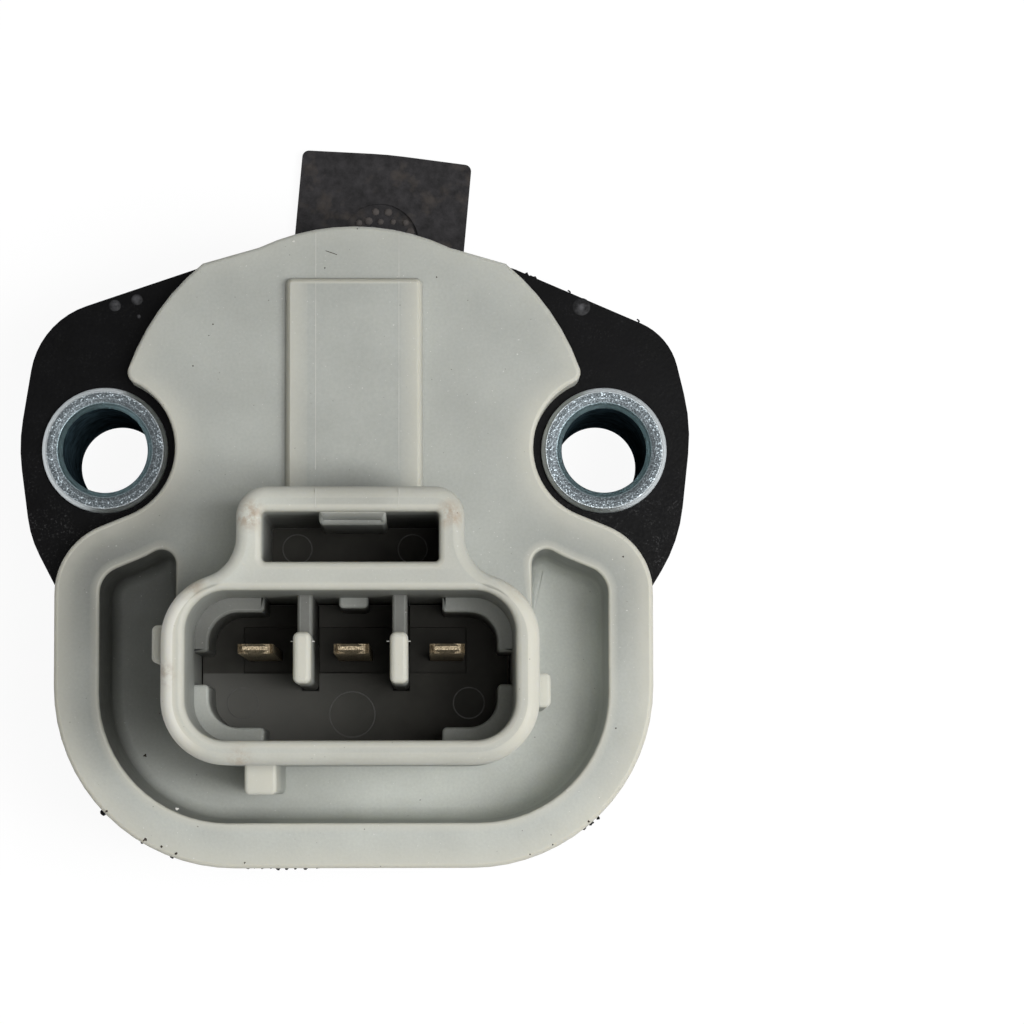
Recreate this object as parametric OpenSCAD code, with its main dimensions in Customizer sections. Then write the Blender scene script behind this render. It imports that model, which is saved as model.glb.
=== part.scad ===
// Throttle position sensor with a three-blade connector.
// The origin is on the rotor axis, in the plane of the mounting face.
// +Z points out of the connector mouth and +Y towards the gasket tab.

/* [Housing outline] */
// Half width of the lower housing
body_half_w = 20.62; // [19.5:0.1:22.5]
// Distance from the rotor axis down to the lower edge
body_drop = 28.95; // [28:0.1:33]
// Radius of the two lower corners
body_corner_r = 12.5; // [6:0.5:14]
// Radius of the two shoulders below the bushings
shoulder_r = 5; // [3:0.2:6]
// Radius of the crown about the rotor axis
crown_r = 15.4; // [14.8:0.1:16.2]
// Half width of the crown arc
crown_half_w = 6.6; // [5:0.1:8]
// Radius of the flanks about the rotor axis
flank_r = 16.55; // [16.2:0.05:17]
// Radius of the cover's clearance around each bushing
ear_gap_r = 5; // [4.6:0.1:5.6]
// Angle on the bushing's circle where the shoulder line leaves it
leave_a = 247.9; // [240:0.5:254]
// Radius of the two tips above the bushings
tip_r = 0.8; // [0.4:0.1:1.2]

/* [Heights] */
// Height of the black base above the mounting face
base_h = 15.2; // [14.6:0.1:17]
// Thickness of the cover plate
cover_t = 3; // [2.4:0.1:4]
// Height of the raised strip on the cover
strip_h = 0.9; // [0.3:0.1:1.6]
// Height of the moat floor above the mounting face
moat_floor_z = 9; // [8:0.1:11]
// Height of the connector's mouth above the mounting face
mouth_z = 31; // [28.5:0.1:34]
// Height of the black connector floor
carrier_z = 11.2; // [10.6:0.1:12]

/* [Walls] */
// Outer wall of the base
base_wall = 1.7; // [1.4:0.1:2.2]
// Floor of the base
base_floor = 2.2; // [1.8:0.1:2.4]
// Flat rim of the cover between its edge and the moat
rim_w = 3.1; // [2.9:0.1:3.6]
// Wall of the moat below the cover plate
moat_wall = 1.2; // [0.9:0.05:1.3]
// Floor under the moat
moat_floor_t = 1.5; // [1.2:0.1:2]
// Fit between the cover's walls and the base
cover_fit = 0.2; // [0.1:0.05:0.3]

/* [Screw bushings] */
// Distance between the two screw centres
screw_pitch = 34.74; // [33.6:0.1:36]
// Outer diameter of a bushing
bushing_d = 8.75; // [8:0.05:9]
// Bore of a bushing
bushing_bore_d = 5.9; // [5.5:0.05:6.4]
// Height of the bushing above the black flange
bushing_proud = 0.8; // [0.2:0.1:1.5]
// Chamfer on the bushing's edges
bushing_chamfer = 0.3; // [0.1:0.05:0.5]

/* [Connector] */
// Half width of the shroud outside
shroud_half_w = 12.46; // [12:0.05:13.2]
// Upper outside face of the shroud
shroud_top_y = -9.36; // [-9.6:0.05:-9.2]
// Lower outside face of the shroud
shroud_low_y = -21.94; // [-22.8:0.05:-21.2]
// Wall of the shroud at its sides and bottom
shroud_wall = 1.6; // [1.3:0.05:1.9]
// Extra wall on the latch side of the shroud
latch_side_extra = -0.48; // [-0.5:0.02:0]
// Outside corner radius of the shroud
shroud_r = 4.3; // [3:0.1:5]
// Radius that softens the mouth's edges
lip_r = 0.55; // [0.3:0.05:0.7]
// Half width of the latch block outside
latch_half_w = 7.53; // [7.2:0.05:8]
// Upper outside face of the latch block
latch_top_y = -3.6; // [-4:0.05:-3.2]
// Corner radius of the latch block
latch_r = 2; // [1:0.1:2.6]
// Wall of the latch block
latch_wall = 1.7; // [1.4:0.05:1.9]
// Lower edge of the latch window
window_low_y = -8.6; // [-8.8:0.05:-8.4]
// Height of the latch window's floor
window_floor_z = 13.6; // [13.4:0.1:15]
// Half width of the latch catch
catch_half_w = 2.16; // [1.4:0.05:3]
// How far the catch reaches into the window
catch_deep = 0.8; // [0.5:0.05:1.4]
// Height of the catch's lower edge
catch_low_z = 20; // [17:0.1:24]

/* [Connector inside] */
// Height of the four corner blocks
corner_z = 20; // [16:0.1:22]
// Thickness of the corner blocks at the sides
corner_side_t = 1; // [0.6:0.05:1.4]
// Thickness of the corner blocks at the top and bottom
corner_flat_t = 1; // [0.6:0.05:1.3]
// Half width of the gap between the upper corner blocks
corner_gap = 6.08; // [4:0.1:7.5]
// Width of the slots in the two side walls
side_slot_w = 2.2; // [1.6:0.1:3]
// Middle of the side slots
side_slot_y = -15.3; // [-15.8:0.1:-14.8]
// Distance between two terminals
pin_pitch = 6.385; // [6.1:0.005:6.6]
// Row of the terminals
pin_y = -14.19; // [-14.5:0.01:-14]
// Thickness of a divider post
post_t = 1.13; // [0.8:0.05:1.4]
// Upper end of the divider posts
post_top_y = -13.18; // [-13.5:0.05:-12.9]
// Lower end of the divider posts
post_low_y = -16.6; // [-17.2:0.05:-16.2]
// Height of the divider posts
post_z = 30; // [26:0.1:30.5]
// Height of the webs that carry the posts
web_z = 23.7; // [21:0.1:25]

/* [Terminals] */
// Width of a blade
blade_w = 2.34; // [2:0.02:2.6]
// Thickness of a blade
blade_t = 0.64; // [0.5:0.02:0.8]
// Height of the blade tips
blade_z = 27.8; // [25:0.1:29]
// Length of the tapered tip
blade_tip = 0.9; // [0.4:0.1:1.4]

/* [Rotor] */
// Radius of the rotor's hub
hub_r = 5.9; // [5.6:0.05:6]
// Radius of the socket for the throttle shaft
socket_r = 4.4; // [3.8:0.05:4.5]
// Depth of the socket
socket_deep = 5.8; // [4.5:0.1:6]
// Width of the two drive tangs
tang_w = 2.4; // [1.6:0.1:3]
// How far a tang reaches in from the socket wall
tang_in = 1.6; // [1:0.1:1.8]
// Radius of the rotor's disc
disc_r = 7.8; // [7.6:0.05:8]
// Radius of the upper journal
journal_r = 2.4; // [2:0.05:2.5]
// Running clearance of the rotor in its bearings
run_fit = 0.15; // [0.1:0.01:0.2]
// Angle through which the throttle turns the rotor
travel_a = 100; // [80:1:104]
// Angle of the rotor's stop lug at rest
rest_a = 40; // [38:1:42]

/* [Gasket] */
// Thickness of the fibre gasket
gasket_t = 0.8; // [0.5:0.05:1]
// Inner radius of the gasket ring
gasket_in_r = 10.3; // [10:0.05:10.6]
// Outer radius of the gasket ring
gasket_out_r = 12; // [11.6:0.05:12.2]
// Width of the gasket's tab
tab_w = 12.5; // [8:0.1:14]
// Reach of the tab from the rotor axis
tab_reach = 23; // [20:0.1:25]
// Angle by which the tab leans to the right
tab_lean = 5.2; // [0:0.1:8]
// Radius of the round recess pressed into the tab
tab_dimple_r = 2.9; // [2:0.1:3.4]
// Distance from the rotor axis to the recess
tab_dimple_y = 16.65; // [15:0.1:18]
// Radius of the pilot recess in the base
pilot_r = 9; // [8.6:0.05:9.2]
// Depth of the pilot recess
pilot_deep = 2.6; // [2:0.1:2.8]

/* [Hidden] */

// Angle between two points of a drawn arc
arc_step = 7.5;
// Overshoot of a cut past the face that it opens
cut = 0.5;
// Clearance between an insert and the plastic moulded round it
insert_fit = 0.02;

cover_z = base_h + cover_t;
moat_low_z = moat_floor_z - moat_floor_t;
bushing_x = screw_pitch / 2;
bushing_len = base_h + bushing_proud;

// Heights of the rotor and what stands around it
bearing_t = 1.8;
seal_z = pilot_deep + bearing_t;
seal_t = 1.4;
collar_h = 1.6;
collar_z = seal_z + collar_h;
seal_out_r = 8.3;
collar_r = pilot_r + 1.2;
rotor_z = pilot_deep + 0.2;
disc_z = collar_z + 3.1;
disc_t = 1.1;
lug_r = disc_r + 1.4;
lug_a = 16;
stop_gap_a = 1;
stop_a = 12;
stop_r = lug_r + 0.6;
plate_z = carrier_z;
plate_t = 0.7;
print_t = 0.12;
step_r = 3.1;
step_z = plate_z + 0.9;
journal_z = base_h - 0.4;
boss_wall = 1.3;
washer_t = 0.3;
washer_wave = 0.1;
washer_r = 2.95;
washer_w = 0.7;
boss_z = step_z + washer_t + 2 * washer_wave + 0.1;
spigot_z = plate_z + plate_t + 0.4;

// Printed tracks and the plate that carries them
track_r = 7;
track_w = 0.8;
collector_r = 5.2;
collector_w = 0.7;
track_over_a = 10;
plate_r = 10.1;
plate_half_w = pin_pitch + 1.85;
riser_y = shroud_top_y + 0.9;
plate_low_y = riser_y - 0.6;
plate_hole_r = step_r + 0.5;
stake_r = 0.8;
stake_wall = 0.8;
stake_ring_r = 8.6;
stakes = [for (a = [25, 90, 155]) stake_ring_r * [cos(a), sin(a)]];

// Carrier of the terminals and the legs inside it
carrier_gap = 0.1;
flange_t = 1.5;
flange_z = moat_low_z - flange_t;
leg_z = flange_z + 0.3;
rib_t = 1.2;
rib_x = pin_pitch + 2.6;

// Spring round the hub
wire_r = 0.4;
coil_r = hub_r + 0.35 + wire_r;
coil_pitch = 0.86;
coil_turns = 2.5;
coil_z = collar_z + wire_r + 0.05;
coil_a = 204;
spring_leg = 5.6;
spring_rise = 1.35;
spring_bend = 0.6;
spring_end_a = coil_a + 360 * coil_turns;
spring_top = coil_r * [cos(spring_end_a), sin(spring_end_a)]
    + spring_bend * [-sin(spring_end_a), cos(spring_end_a)];

// Unit vector along v
function unit(v) = v / norm(v);

// Points of an arc about c, from angle a to angle b
function arc(c, r, a, b) = let (n = max(2, ceil(abs(b - a) / arc_step)))
    [for (i = [0:n]) let (t = a + (b - a) * i / n) c + r * [cos(t), sin(t)]];

// Points that round the corner q, between its neighbours p and s, to radius r
function corner(p, q, s, r) = r == 0 ? [q] :
    let (u = unit(p - q), v = unit(s - q), half = acos(u * v) / 2,
        c = q + unit(u + v) * r / sin(half),
        d = q + u * r / tan(half) - c, e = q + v * r / tan(half) - c,
        a = atan2(d[1], d[0]), turn = atan2(d[0] * e[1] - d[1] * e[0], d * e))
    arc(c, r, a, a + turn);

// Points of a polygon given as corners [x, y, radius]
function rounded(k) = [for (i = [0:len(k) - 1])
    let (n = len(k), p = k[(i + n - 1) % n], q = k[i], s = k[(i + 1) % n])
    each corner([p[0], p[1]], [q[0], q[1]], [s[0], s[1]], q[2])];

// Points of a rectangle with rounded corners
function rounded_box(x0, y0, x1, y1, r) =
    rounded([[x0, y0, r], [x1, y0, r], [x1, y1, r], [x0, y1, r]]);

function mirrored(pts) = [for (i = [len(pts) - 1:-1:0]) [-pts[i][0], pts[i][1]]];

// Right edge of the cover, from the crown down to the bottom
bushing_c = [bushing_x, 0];
flank_a = acos((crown_half_w + 3.9) / flank_r);
tip_c = let (o = flank_r - tip_r, b = ear_gap_r + tip_r,
        x = (o * o - b * b + bushing_x * bushing_x) / (2 * bushing_x))
    [x, sqrt(o * o - x * x)];
tip_start_a = atan2(tip_c[1], tip_c[0]);
tip_end_a = atan2(-tip_c[1], bushing_x - tip_c[0]);
leave_p = bushing_c + ear_gap_r * [cos(leave_a), sin(leave_a)];
shoulder_p = leave_p + [-sin(leave_a), cos(leave_a)]
    * (body_half_w - leave_p[0]) / -sin(leave_a);
low_p = [body_half_w, -body_drop];
cover_right = concat(
    arc([0, 0], crown_r, 90, acos(crown_half_w / crown_r)),
    arc([0, 0], flank_r, flank_a, tip_start_a),
    arc(tip_c, tip_r, tip_start_a, tip_end_a),
    arc(bushing_c, ear_gap_r, tip_end_a + 180, leave_a),
    corner(leave_p, shoulder_p, low_p, shoulder_r),
    corner(shoulder_p, low_p, [0, -body_drop], body_corner_r));

// Ears of the base, wrapped round the bushings; the right one has a blunter upper corner
ear_right = rounded([[8, 13.3, 0], [11, 12.85, 2], [bushing_x + 4.65, 8.1, 4.4],
    [bushing_x + 6.14, 1.9, 12.5], [bushing_x + 5.25, -6.35, 11],
    [bushing_x + 2.97, -10.1, 0], [8, -10.1, 0]]);
ear_left = mirrored(rounded([[8, 13.3, 0], [11, 12.8, 2], [bushing_x + 4.67, 9.05, 5.75],
    [bushing_x + 6.05, 0.45, 12], [bushing_x + 5.2, -6.05, 8],
    [bushing_x + 3.1, -10.1, 0], [8, -10.1, 0]]));

module cover_outline() {
    polygon(concat(cover_right, mirrored(cover_right)));
}

module base_outline() {
    cover_outline();
    polygon(ear_right);
    polygon(ear_left);
}

// Outline of the shroud grown by d
module shroud_outline(d = 0) {
    polygon(rounded_box(-shroud_half_w - d, shroud_low_y - d,
        shroud_half_w + d, shroud_top_y + d, shroud_r + d));
}

// Space inside the shroud, shrunk by d
plug_half_w = shroud_half_w - shroud_wall;
plug_low_y = shroud_low_y + shroud_wall;
plug_top_y = shroud_top_y - shroud_wall - latch_side_extra;
plug_r = shroud_r - shroud_wall;
module plug_outline(d = 0) {
    polygon(rounded_box(-plug_half_w + d, plug_low_y + d,
        plug_half_w - d, plug_top_y - d, plug_r - d));
}

// Floor plan of the moat: the cover's outline inside its rim, less the bridge
// that runs down to the shroud, with the corners softened
pocket_r = 1;
bridge_half_w = shroud_half_w - 0.2;
module moat_outline() {
    offset(r = pocket_r) offset(delta = -pocket_r) difference() {
        offset(delta = -rim_w) cover_outline();
        translate([-bridge_half_w, shroud_top_y - shroud_r])
            square([2 * bridge_half_w, crown_r + shroud_r - shroud_top_y]);
        translate([-body_half_w, 0])
            square([2 * body_half_w, crown_r + cut]);
    }
}

module slab(z0, z1) {
    translate([0, 0, z0]) linear_extrude(z1 - z0) children();
}

module box(x0, y0, z0, x1, y1, z1) {
    translate([x0, y0, z0]) cube([x1 - x0, y1 - y0, z1 - z0]);
}

// Sector of a ring about the rotor axis, centred on angle a
module sector(r0, r1, a, width, z0, z1) {
    translate([0, 0, z0]) rotate([0, 0, a - width / 2])
        rotate_extrude(angle = width)
            translate([r0, 0]) square([r1 - r0, z1 - z0]);
}

// Closed tube through rings of points, all rings with the same count
module tube(rings, loop) {
    n = len(rings[0]);
    m = len(rings);
    last = loop ? m - 1 : m - 2;
    sides = [for (i = [0:last], j = [0:n - 1]) let (k = (i + 1) % m, l = (j + 1) % n)
        each [[i * n + j, k * n + j, k * n + l], [i * n + j, k * n + l, i * n + l]]];
    ends = loop ? [] : [[for (j = [0:n - 1]) j],
        [for (j = [n - 1:-1:0]) (m - 1) * n + j]];
    polyhedron([for (r = rings) each r], concat(sides, ends), 6);
}

module base_cavity() {
    offset(delta = -base_wall) cover_outline();
}

module base_housing() color("#17171a") difference() {
    union() {
        difference() {
            slab(0, base_h) base_outline();
            slab(base_floor, base_h + cut) base_cavity();
        }
        cylinder(h = collar_z, r = collar_r, $fn = 96);
        for (a = [rest_a - lug_a / 2 - stop_gap_a - stop_a / 2,
                rest_a + travel_a + lug_a / 2 + stop_gap_a + stop_a / 2])
            sector(seal_out_r + 0.2, stop_r, a, stop_a, base_floor, disc_z + disc_t);
        for (s = [-1, 1])
            box(s * rib_x - rib_t / 2, plug_low_y, base_floor - cut,
                s * rib_x + rib_t / 2, plug_top_y, flange_z);
    }
    translate([0, 0, -cut]) cylinder(h = pilot_deep + cut, r = pilot_r, $fn = 96);
    translate([0, 0, -cut]) cylinder(h = collar_z, r = hub_r + run_fit, $fn = 96);
    translate([0, 0, seal_z]) cylinder(h = collar_h + cut, r = seal_out_r, $fn = 96);
    for (s = [-1, 1]) translate([s * bushing_x, 0, -cut])
        cylinder(h = base_h + 2 * cut, d = bushing_d + 2 * insert_fit, $fn = 72);
    difference() {
        translate([0, 0, -cut])
            cylinder(h = gasket_t + cut, r = gasket_out_r + 0.1, $fn = 96);
        translate([0, 0, -2 * cut])
            cylinder(h = gasket_t + 3 * cut, r = gasket_in_r - 0.1, $fn = 96);
    }
    rotate([0, 0, -tab_lean]) box(-tab_w / 2 - 0.1, gasket_in_r, -cut,
        tab_w / 2 + 0.1, tab_reach, gasket_t);
    slab(base_h - 0.5, base_h + cut) seal_ring();
}

// Ring in the joint face between base and cover
seal_in = 0.55;
seal_w = 0.6;
module seal_ring(d = 0) difference() {
    offset(delta = -seal_in - d) cover_outline();
    offset(delta = -seal_in - seal_w + d) cover_outline();
}

module housing_seal() color("#2b2b2e")
    slab(base_h - 0.5, base_h) seal_ring(insert_fit);

module cover_housing() color("#b3b5ad") {
    difference() {
        union() {
            difference() {
                union() {
                    slab(base_h, cover_z) cover_outline();
                    slab(moat_low_z, base_h + cut)
                        offset(delta = moat_wall) moat_outline();
                    slab(spigot_z, base_h + cut) spigot_outline();
                }
                slab(moat_floor_z, cover_z + cut) moat_outline();
            }
            slab(moat_low_z, mouth_z - lip_r) shroud_outline();
            mouth_lip();
            slab(window_floor_z - moat_floor_t, mouth_z) latch_outline();
            raised_strip();
            shroud_ribs();
            translate([0, 0, boss_z])
                cylinder(h = base_h - boss_z + cut, r = journal_r + run_fit + boss_wall);
            for (p = stakes) plate_stake(p);
        }
        slab(moat_low_z - cut, mouth_z + cut) plug_outline();
        slab(window_floor_z, mouth_z + cut) window_outline();
        translate([0, 0, boss_z - cut])
            cylinder(h = base_h + cut - boss_z, r = journal_r + run_fit, $fn = 64);
    }
    latch_catch();
    connector_inside();
}

// Locating rim that drops into the base all round
module spigot_outline() difference() {
    offset(delta = -base_wall - cover_fit) cover_outline();
    offset(delta = -base_wall - cover_fit - moat_wall) cover_outline();
}

// Raised strip with sloping sides, from the crown to the latch block
strip_half_w = 4.5;
strip_top_y = 11.7;
module raised_strip() {
    w = strip_half_w;
    translate([0, strip_top_y, 0]) rotate([90, 0, 0])
        linear_extrude(strip_top_y - latch_top_y + latch_wall)
            polygon([[-w - 0.3, cover_z - cut], [w + 0.3, cover_z - cut],
                [w + 0.3, cover_z], [w, cover_z + strip_h],
                [-w, cover_z + strip_h], [-w - 0.3, cover_z]]);
}

// Post that spaces the resistor plate, and the pin staked through it
module plate_stake(p) translate([p[0], p[1], 0]) {
    translate([0, 0, plate_z + plate_t])
        cylinder(h = base_h - plate_z - plate_t + cut, r = stake_r + stake_wall);
    translate([0, 0, plate_z - 0.1]) cylinder(h = base_h - plate_z, r = stake_r);
}

// Rounded lip on top of the shroud wall
module mouth_lip() {
    for (i = [0:1]) {
        a = i * 45;
        b = a + 45;
        slab(mouth_z - lip_r + lip_r * sin(a), mouth_z - lip_r + lip_r * sin(b))
            difference() {
                shroud_outline(-lip_r * (1 - cos((a + b) / 2)));
                plug_outline(-lip_r * (1 - cos((a + b) / 2)));
            }
    }
}

// Latch block, flared where it meets the shroud
flare = 1.5;
module latch_outline() {
    w = latch_half_w;
    y = shroud_top_y;
    polygon(rounded([[-w - flare, y - 0.5, 0], [w + flare, y - 0.5, 0],
        [w, y + flare, flare], [w, latch_top_y, latch_r],
        [-w, latch_top_y, latch_r], [-w, y + flare, flare]]));
}

module window_outline() {
    polygon(rounded_box(-latch_half_w + latch_wall, window_low_y,
        latch_half_w - latch_wall, latch_top_y - latch_wall, 0.4));
}

// Catch that hangs from the upper wall of the latch window
module latch_catch() {
    wall_y = latch_top_y - latch_wall;
    face_y = wall_y - catch_deep;
    rotate([90, 0, 90]) translate([0, 0, -catch_half_w])
        linear_extrude(2 * catch_half_w)
            polygon([[wall_y + cut, catch_low_z - 0.8], [wall_y + cut, mouth_z - 1],
                [face_y + 0.3, mouth_z - 1], [face_y, mouth_z - 1.4],
                [face_y, catch_low_z], [wall_y, catch_low_z - 0.3]]);
}

// Ribs on the outside of the shroud, down to the moat floor
rib_z = 26;
rib_side = 0.85;
rib_low = 1.95;
module ribs_outline() {
    translate([-shroud_half_w - rib_side, -15.2]) square([rib_side + cut, 2.5]);
    translate([shroud_half_w - cut, -18.1]) square([rib_side + cut, 2.3]);
    translate([-7.14, shroud_low_y - rib_low]) square([2.14, rib_low + cut]);
}

module shroud_ribs() slab(moat_low_z, rib_z) difference() {
    ribs_outline();
    plug_outline(-shroud_wall / 2);
}

// Corner blocks, key, and the dividers with the webs that carry them
corner_in_r = 2;
key_half_w = 1.05;
key_deep = 0.7;
divider_x = pin_pitch / 2;
module connector_inside() {
    slab(carrier_z, corner_z) difference() {
        plug_outline(-cut);
        polygon(rounded_box(-plug_half_w + corner_side_t, plug_low_y + corner_flat_t,
            plug_half_w - corner_side_t, plug_top_y - corner_flat_t, corner_in_r));
        translate([-corner_gap, plug_low_y - 2 * cut])
            square([2 * corner_gap, plug_top_y - plug_low_y + 4 * cut]);
        translate([-plug_half_w - 2 * cut, side_slot_y - side_slot_w / 2])
            square([2 * plug_half_w + 4 * cut, side_slot_w]);
    }
    box(-key_half_w, plug_top_y - key_deep, carrier_z, key_half_w, plug_top_y + cut, corner_z);
    for (s = [-1, 1]) {
        slab(carrier_z - 1.4, post_z) post_outline(s * divider_x);
        box(s * divider_x - post_t / 2, post_top_y - cut, carrier_z - 1.4,
            s * divider_x + post_t / 2, plug_top_y + cut, web_z);
    }
}

module post_outline(x, grow = 0) {
    polygon(rounded_box(x - post_t / 2 - grow, post_low_y - grow,
        x + post_t / 2 + grow, post_top_y + grow, 0.5));
}

module bushing(s) color("#a9b0b8") translate([s * bushing_x, 0, 0]) {
    r = bushing_d / 2;
    bore = bushing_bore_d / 2;
    c = bushing_chamfer;
    rotate_extrude($fn = 96) polygon([[bore, c], [bore + c, 0], [r - c, 0], [r, c],
        [r, bushing_len - c], [r - c, bushing_len], [bore + c, bushing_len],
        [bore, bushing_len - c]]);
}

// Side view of a terminal: blade, leg under the floor and riser to the plate
module terminal(i, grow = 0) {
    t = blade_t / 2 + grow;
    low = leg_z - grow;
    translate([i * pin_pitch, 0, 0]) rotate([90, 0, 90])
        translate([0, 0, -blade_w / 2 - grow]) linear_extrude(blade_w + 2 * grow)
            polygon([[pin_y - t, low], [riser_y + t, low],
                [riser_y + t, plate_z - print_t], [riser_y - t, plate_z - print_t],
                [riser_y - t, low + 2 * t], [pin_y + t, low + 2 * t],
                [pin_y + t, blade_z - blade_tip], [pin_y + 0.12, blade_z],
                [pin_y - 0.12, blade_z], [pin_y - t, blade_z - blade_tip]]);
}

module blade_tip_cut(i) {
    for (s = [-1, 1]) translate([i * pin_pitch + s * blade_w / 2, pin_y, blade_z])
        rotate([0, s * 25, 0]) cube([0.6, 2, 2.4], center = true);
}

module terminal_piece(i) color("#c9b37e") difference() {
    terminal(i);
    blade_tip_cut(i);
}

module terminal_carrier() color("#1b1a1c") difference() {
    union() {
        slab(moat_low_z, carrier_z) plug_outline(carrier_gap);
        slab(flange_z, moat_low_z) shroud_outline(-0.1);
    }
    for (i = [-1:1]) {
        terminal(i, insert_fit);
        box(i * pin_pitch - blade_w / 2 - insert_fit, pin_y - blade_t / 2 - insert_fit,
            flange_z - cut, i * pin_pitch + blade_w / 2 + insert_fit,
            shroud_top_y + 1, leg_z);
    }
    box(-7.9, -15.4, carrier_z - 0.8, 7.8, -12.16, carrier_z + cut);
    for (s = [-1, 1])
        box(s * divider_x - post_t / 2 - 0.05, post_low_y - 0.05, carrier_z - 1.5,
            s * divider_x + post_t / 2 + 0.05, plug_top_y + cut, carrier_z + cut);
}

module plate_outline() difference() {
    union() {
        intersection() {
            circle(plate_r, $fn = 96);
            translate([-plate_r, plate_low_y]) square([2 * plate_r, 2 * plate_r]);
        }
        translate([-plate_half_w, plate_low_y]) square([2 * plate_half_w, -plate_low_y]);
    }
    circle(plate_hole_r, $fn = 48);
    for (p = stakes) translate(p) circle(stake_r + 0.05, $fn = 32);
}

module resistor_substrate() color("#d8d4c4") slab(plate_z, plate_z + plate_t) plate_outline();

module printed_arc(r, w) {
    sector(r - w / 2, r + w / 2, rest_a + travel_a / 2, travel_a + 2 * track_over_a,
        plate_z - print_t, plate_z);
}

module resistive_track() color("#26221f") printed_arc(track_r, track_w);

module collector_track() color("#3a3632") printed_arc(collector_r, collector_w);

// Printed leads from the tracks' ends to the three terminals
lead_w = 0.9;
module conductor_pads() color("#c8c8c4") slab(plate_z - print_t, plate_z) {
    a = rest_a - track_over_a;
    for (s = [-1, 1]) {
        x = (track_r + track_w / 2) * cos(a);
        y = (track_r - track_w / 2) * sin(a) - 0.05;
        polygon([[s * (x - lead_w), y], [s * x, y],
            [s * (pin_pitch + 1), riser_y - 0.5], [s * (pin_pitch - 1), riser_y - 0.5]]);
    }
    x = (collector_r + collector_w / 2) * cos(a);
    y = (collector_r - collector_w / 2) * sin(a) - 0.05;
    polygon([[-x, y], [-x + lead_w, y], [-x + lead_w, -1.5], [1, riser_y + 1],
        [1, riser_y - 0.5], [-1, riser_y - 0.5], [-1, riser_y + 1], [-x, -1.5]]);
}

module rotor() color("#3a3a38") difference() {
    union() {
        translate([0, 0, rotor_z]) cylinder(h = disc_z - rotor_z + cut, r = hub_r, $fn = 96);
        translate([0, 0, disc_z]) cylinder(h = disc_t, r = disc_r, $fn = 96);
        translate([0, 0, disc_z]) cylinder(h = step_z - disc_z, r = step_r, $fn = 64);
        translate([0, 0, disc_z]) cylinder(h = journal_z - disc_z, r = journal_r, $fn = 64);
        sector(disc_r - 0.5, lug_r, rest_a, lug_a, disc_z, disc_z + disc_t);
    }
    translate(spring_top) translate([0, 0, disc_z - cut])
        cylinder(h = disc_t + 2 * cut, r = wire_r + 0.2, $fn = 32);
    difference() {
        translate([0, 0, rotor_z - cut]) cylinder(h = socket_deep + cut, r = socket_r, $fn = 72);
        for (s = [-1, 1])
            box(s * (socket_r - tang_in / 2 + 0.5) - tang_in / 2 - 0.5, -tang_w / 2,
                rotor_z, s * (socket_r - tang_in / 2 + 0.5) + tang_in / 2 + 0.5,
                tang_w / 2, rotor_z + socket_deep);
    }
}

// Brush of sprung fingers: two press on each printed track
finger_w = 0.7;
finger_t = 0.14;
finger_reach = 2.6;
wiper_z = disc_z + disc_t;
wiper_t = 0.2;
module wiper() color("#c9a55a") {
    sector(step_r + 0.3, track_r + finger_w / 2, rest_a - 38, 26, wiper_z, wiper_z + wiper_t);
    for (r = [collector_r, track_r]) finger(r);
}

module finger(r) {
    tip = plate_z - print_t - 0.04;
    low = wiper_z + wiper_t - finger_t;
    rotate([0, 0, rest_a - atan(finger_reach / r)]) translate([r - finger_w / 2, 0, 0])
        rotate([90, 0, 90]) linear_extrude(finger_w)
            polygon([[-0.9, low], [0.3, low], [finger_reach - 0.4, tip - 2 * finger_t],
                [finger_reach, tip - finger_t], [finger_reach + 0.4, tip - 2 * finger_t],
                [finger_reach + 0.4, tip - finger_t], [finger_reach, tip],
                [finger_reach - 0.45, tip - finger_t], [0.2, low + finger_t],
                [-0.9, low + finger_t]]);
}

// Ring of points round p, in the plane of the unit vectors u and v
function ring(p, u, v, r, n) =
    [for (j = [0:n - 1]) p + r * (cos(360 * j / n) * u + sin(360 * j / n) * v)];

module return_spring() color("#8f9499") {
    steps = 20 * coil_turns;
    turn_a = 360 * coil_turns;
    end_a = spring_end_a;
    up = [0, 0, 1];
    start = [cos(coil_a), sin(coil_a), 0];
    ahead = [-sin(coil_a), cos(coil_a), 0];
    out = [cos(end_a), sin(end_a), 0];
    along = [-sin(end_a), cos(end_a), 0];
    end_z = coil_z + coil_pitch * coil_turns;
    tube(concat(
        [ring(coil_r * start + coil_z * up - spring_leg * ahead, start, up, wire_r, 8)],
        [for (i = [0:steps]) let (a = coil_a + turn_a * i / steps, u = [cos(a), sin(a), 0])
            ring(coil_r * u + (coil_z + coil_pitch * coil_turns * i / steps) * up,
                u, up, wire_r, 8)],
        [for (t = [30, 60, 90])
            ring(coil_r * out + end_z * up
                + spring_bend * (sin(t) * along + (1 - cos(t)) * up),
                out, cos(t) * up - sin(t) * along, wire_r, 8)],
        [ring(coil_r * out + spring_bend * along + (end_z + spring_rise) * up,
            out, -along, wire_r, 8)]), false);
}

module wave_washer() color("#a4a8ab") {
    n = 48;
    tube([for (i = [0:n - 1]) let (a = 360 * i / n, u = [cos(a), sin(a), 0],
            z = step_z + washer_wave + washer_t / 2 + washer_wave * sin(3 * a))
        [for (c = [[-1, -1], [1, -1], [1, 1], [-1, 1]])
            (washer_r + c[0] * washer_w / 2) * u + [0, 0, z + c[1] * washer_t / 2]]], true);
}

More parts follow.
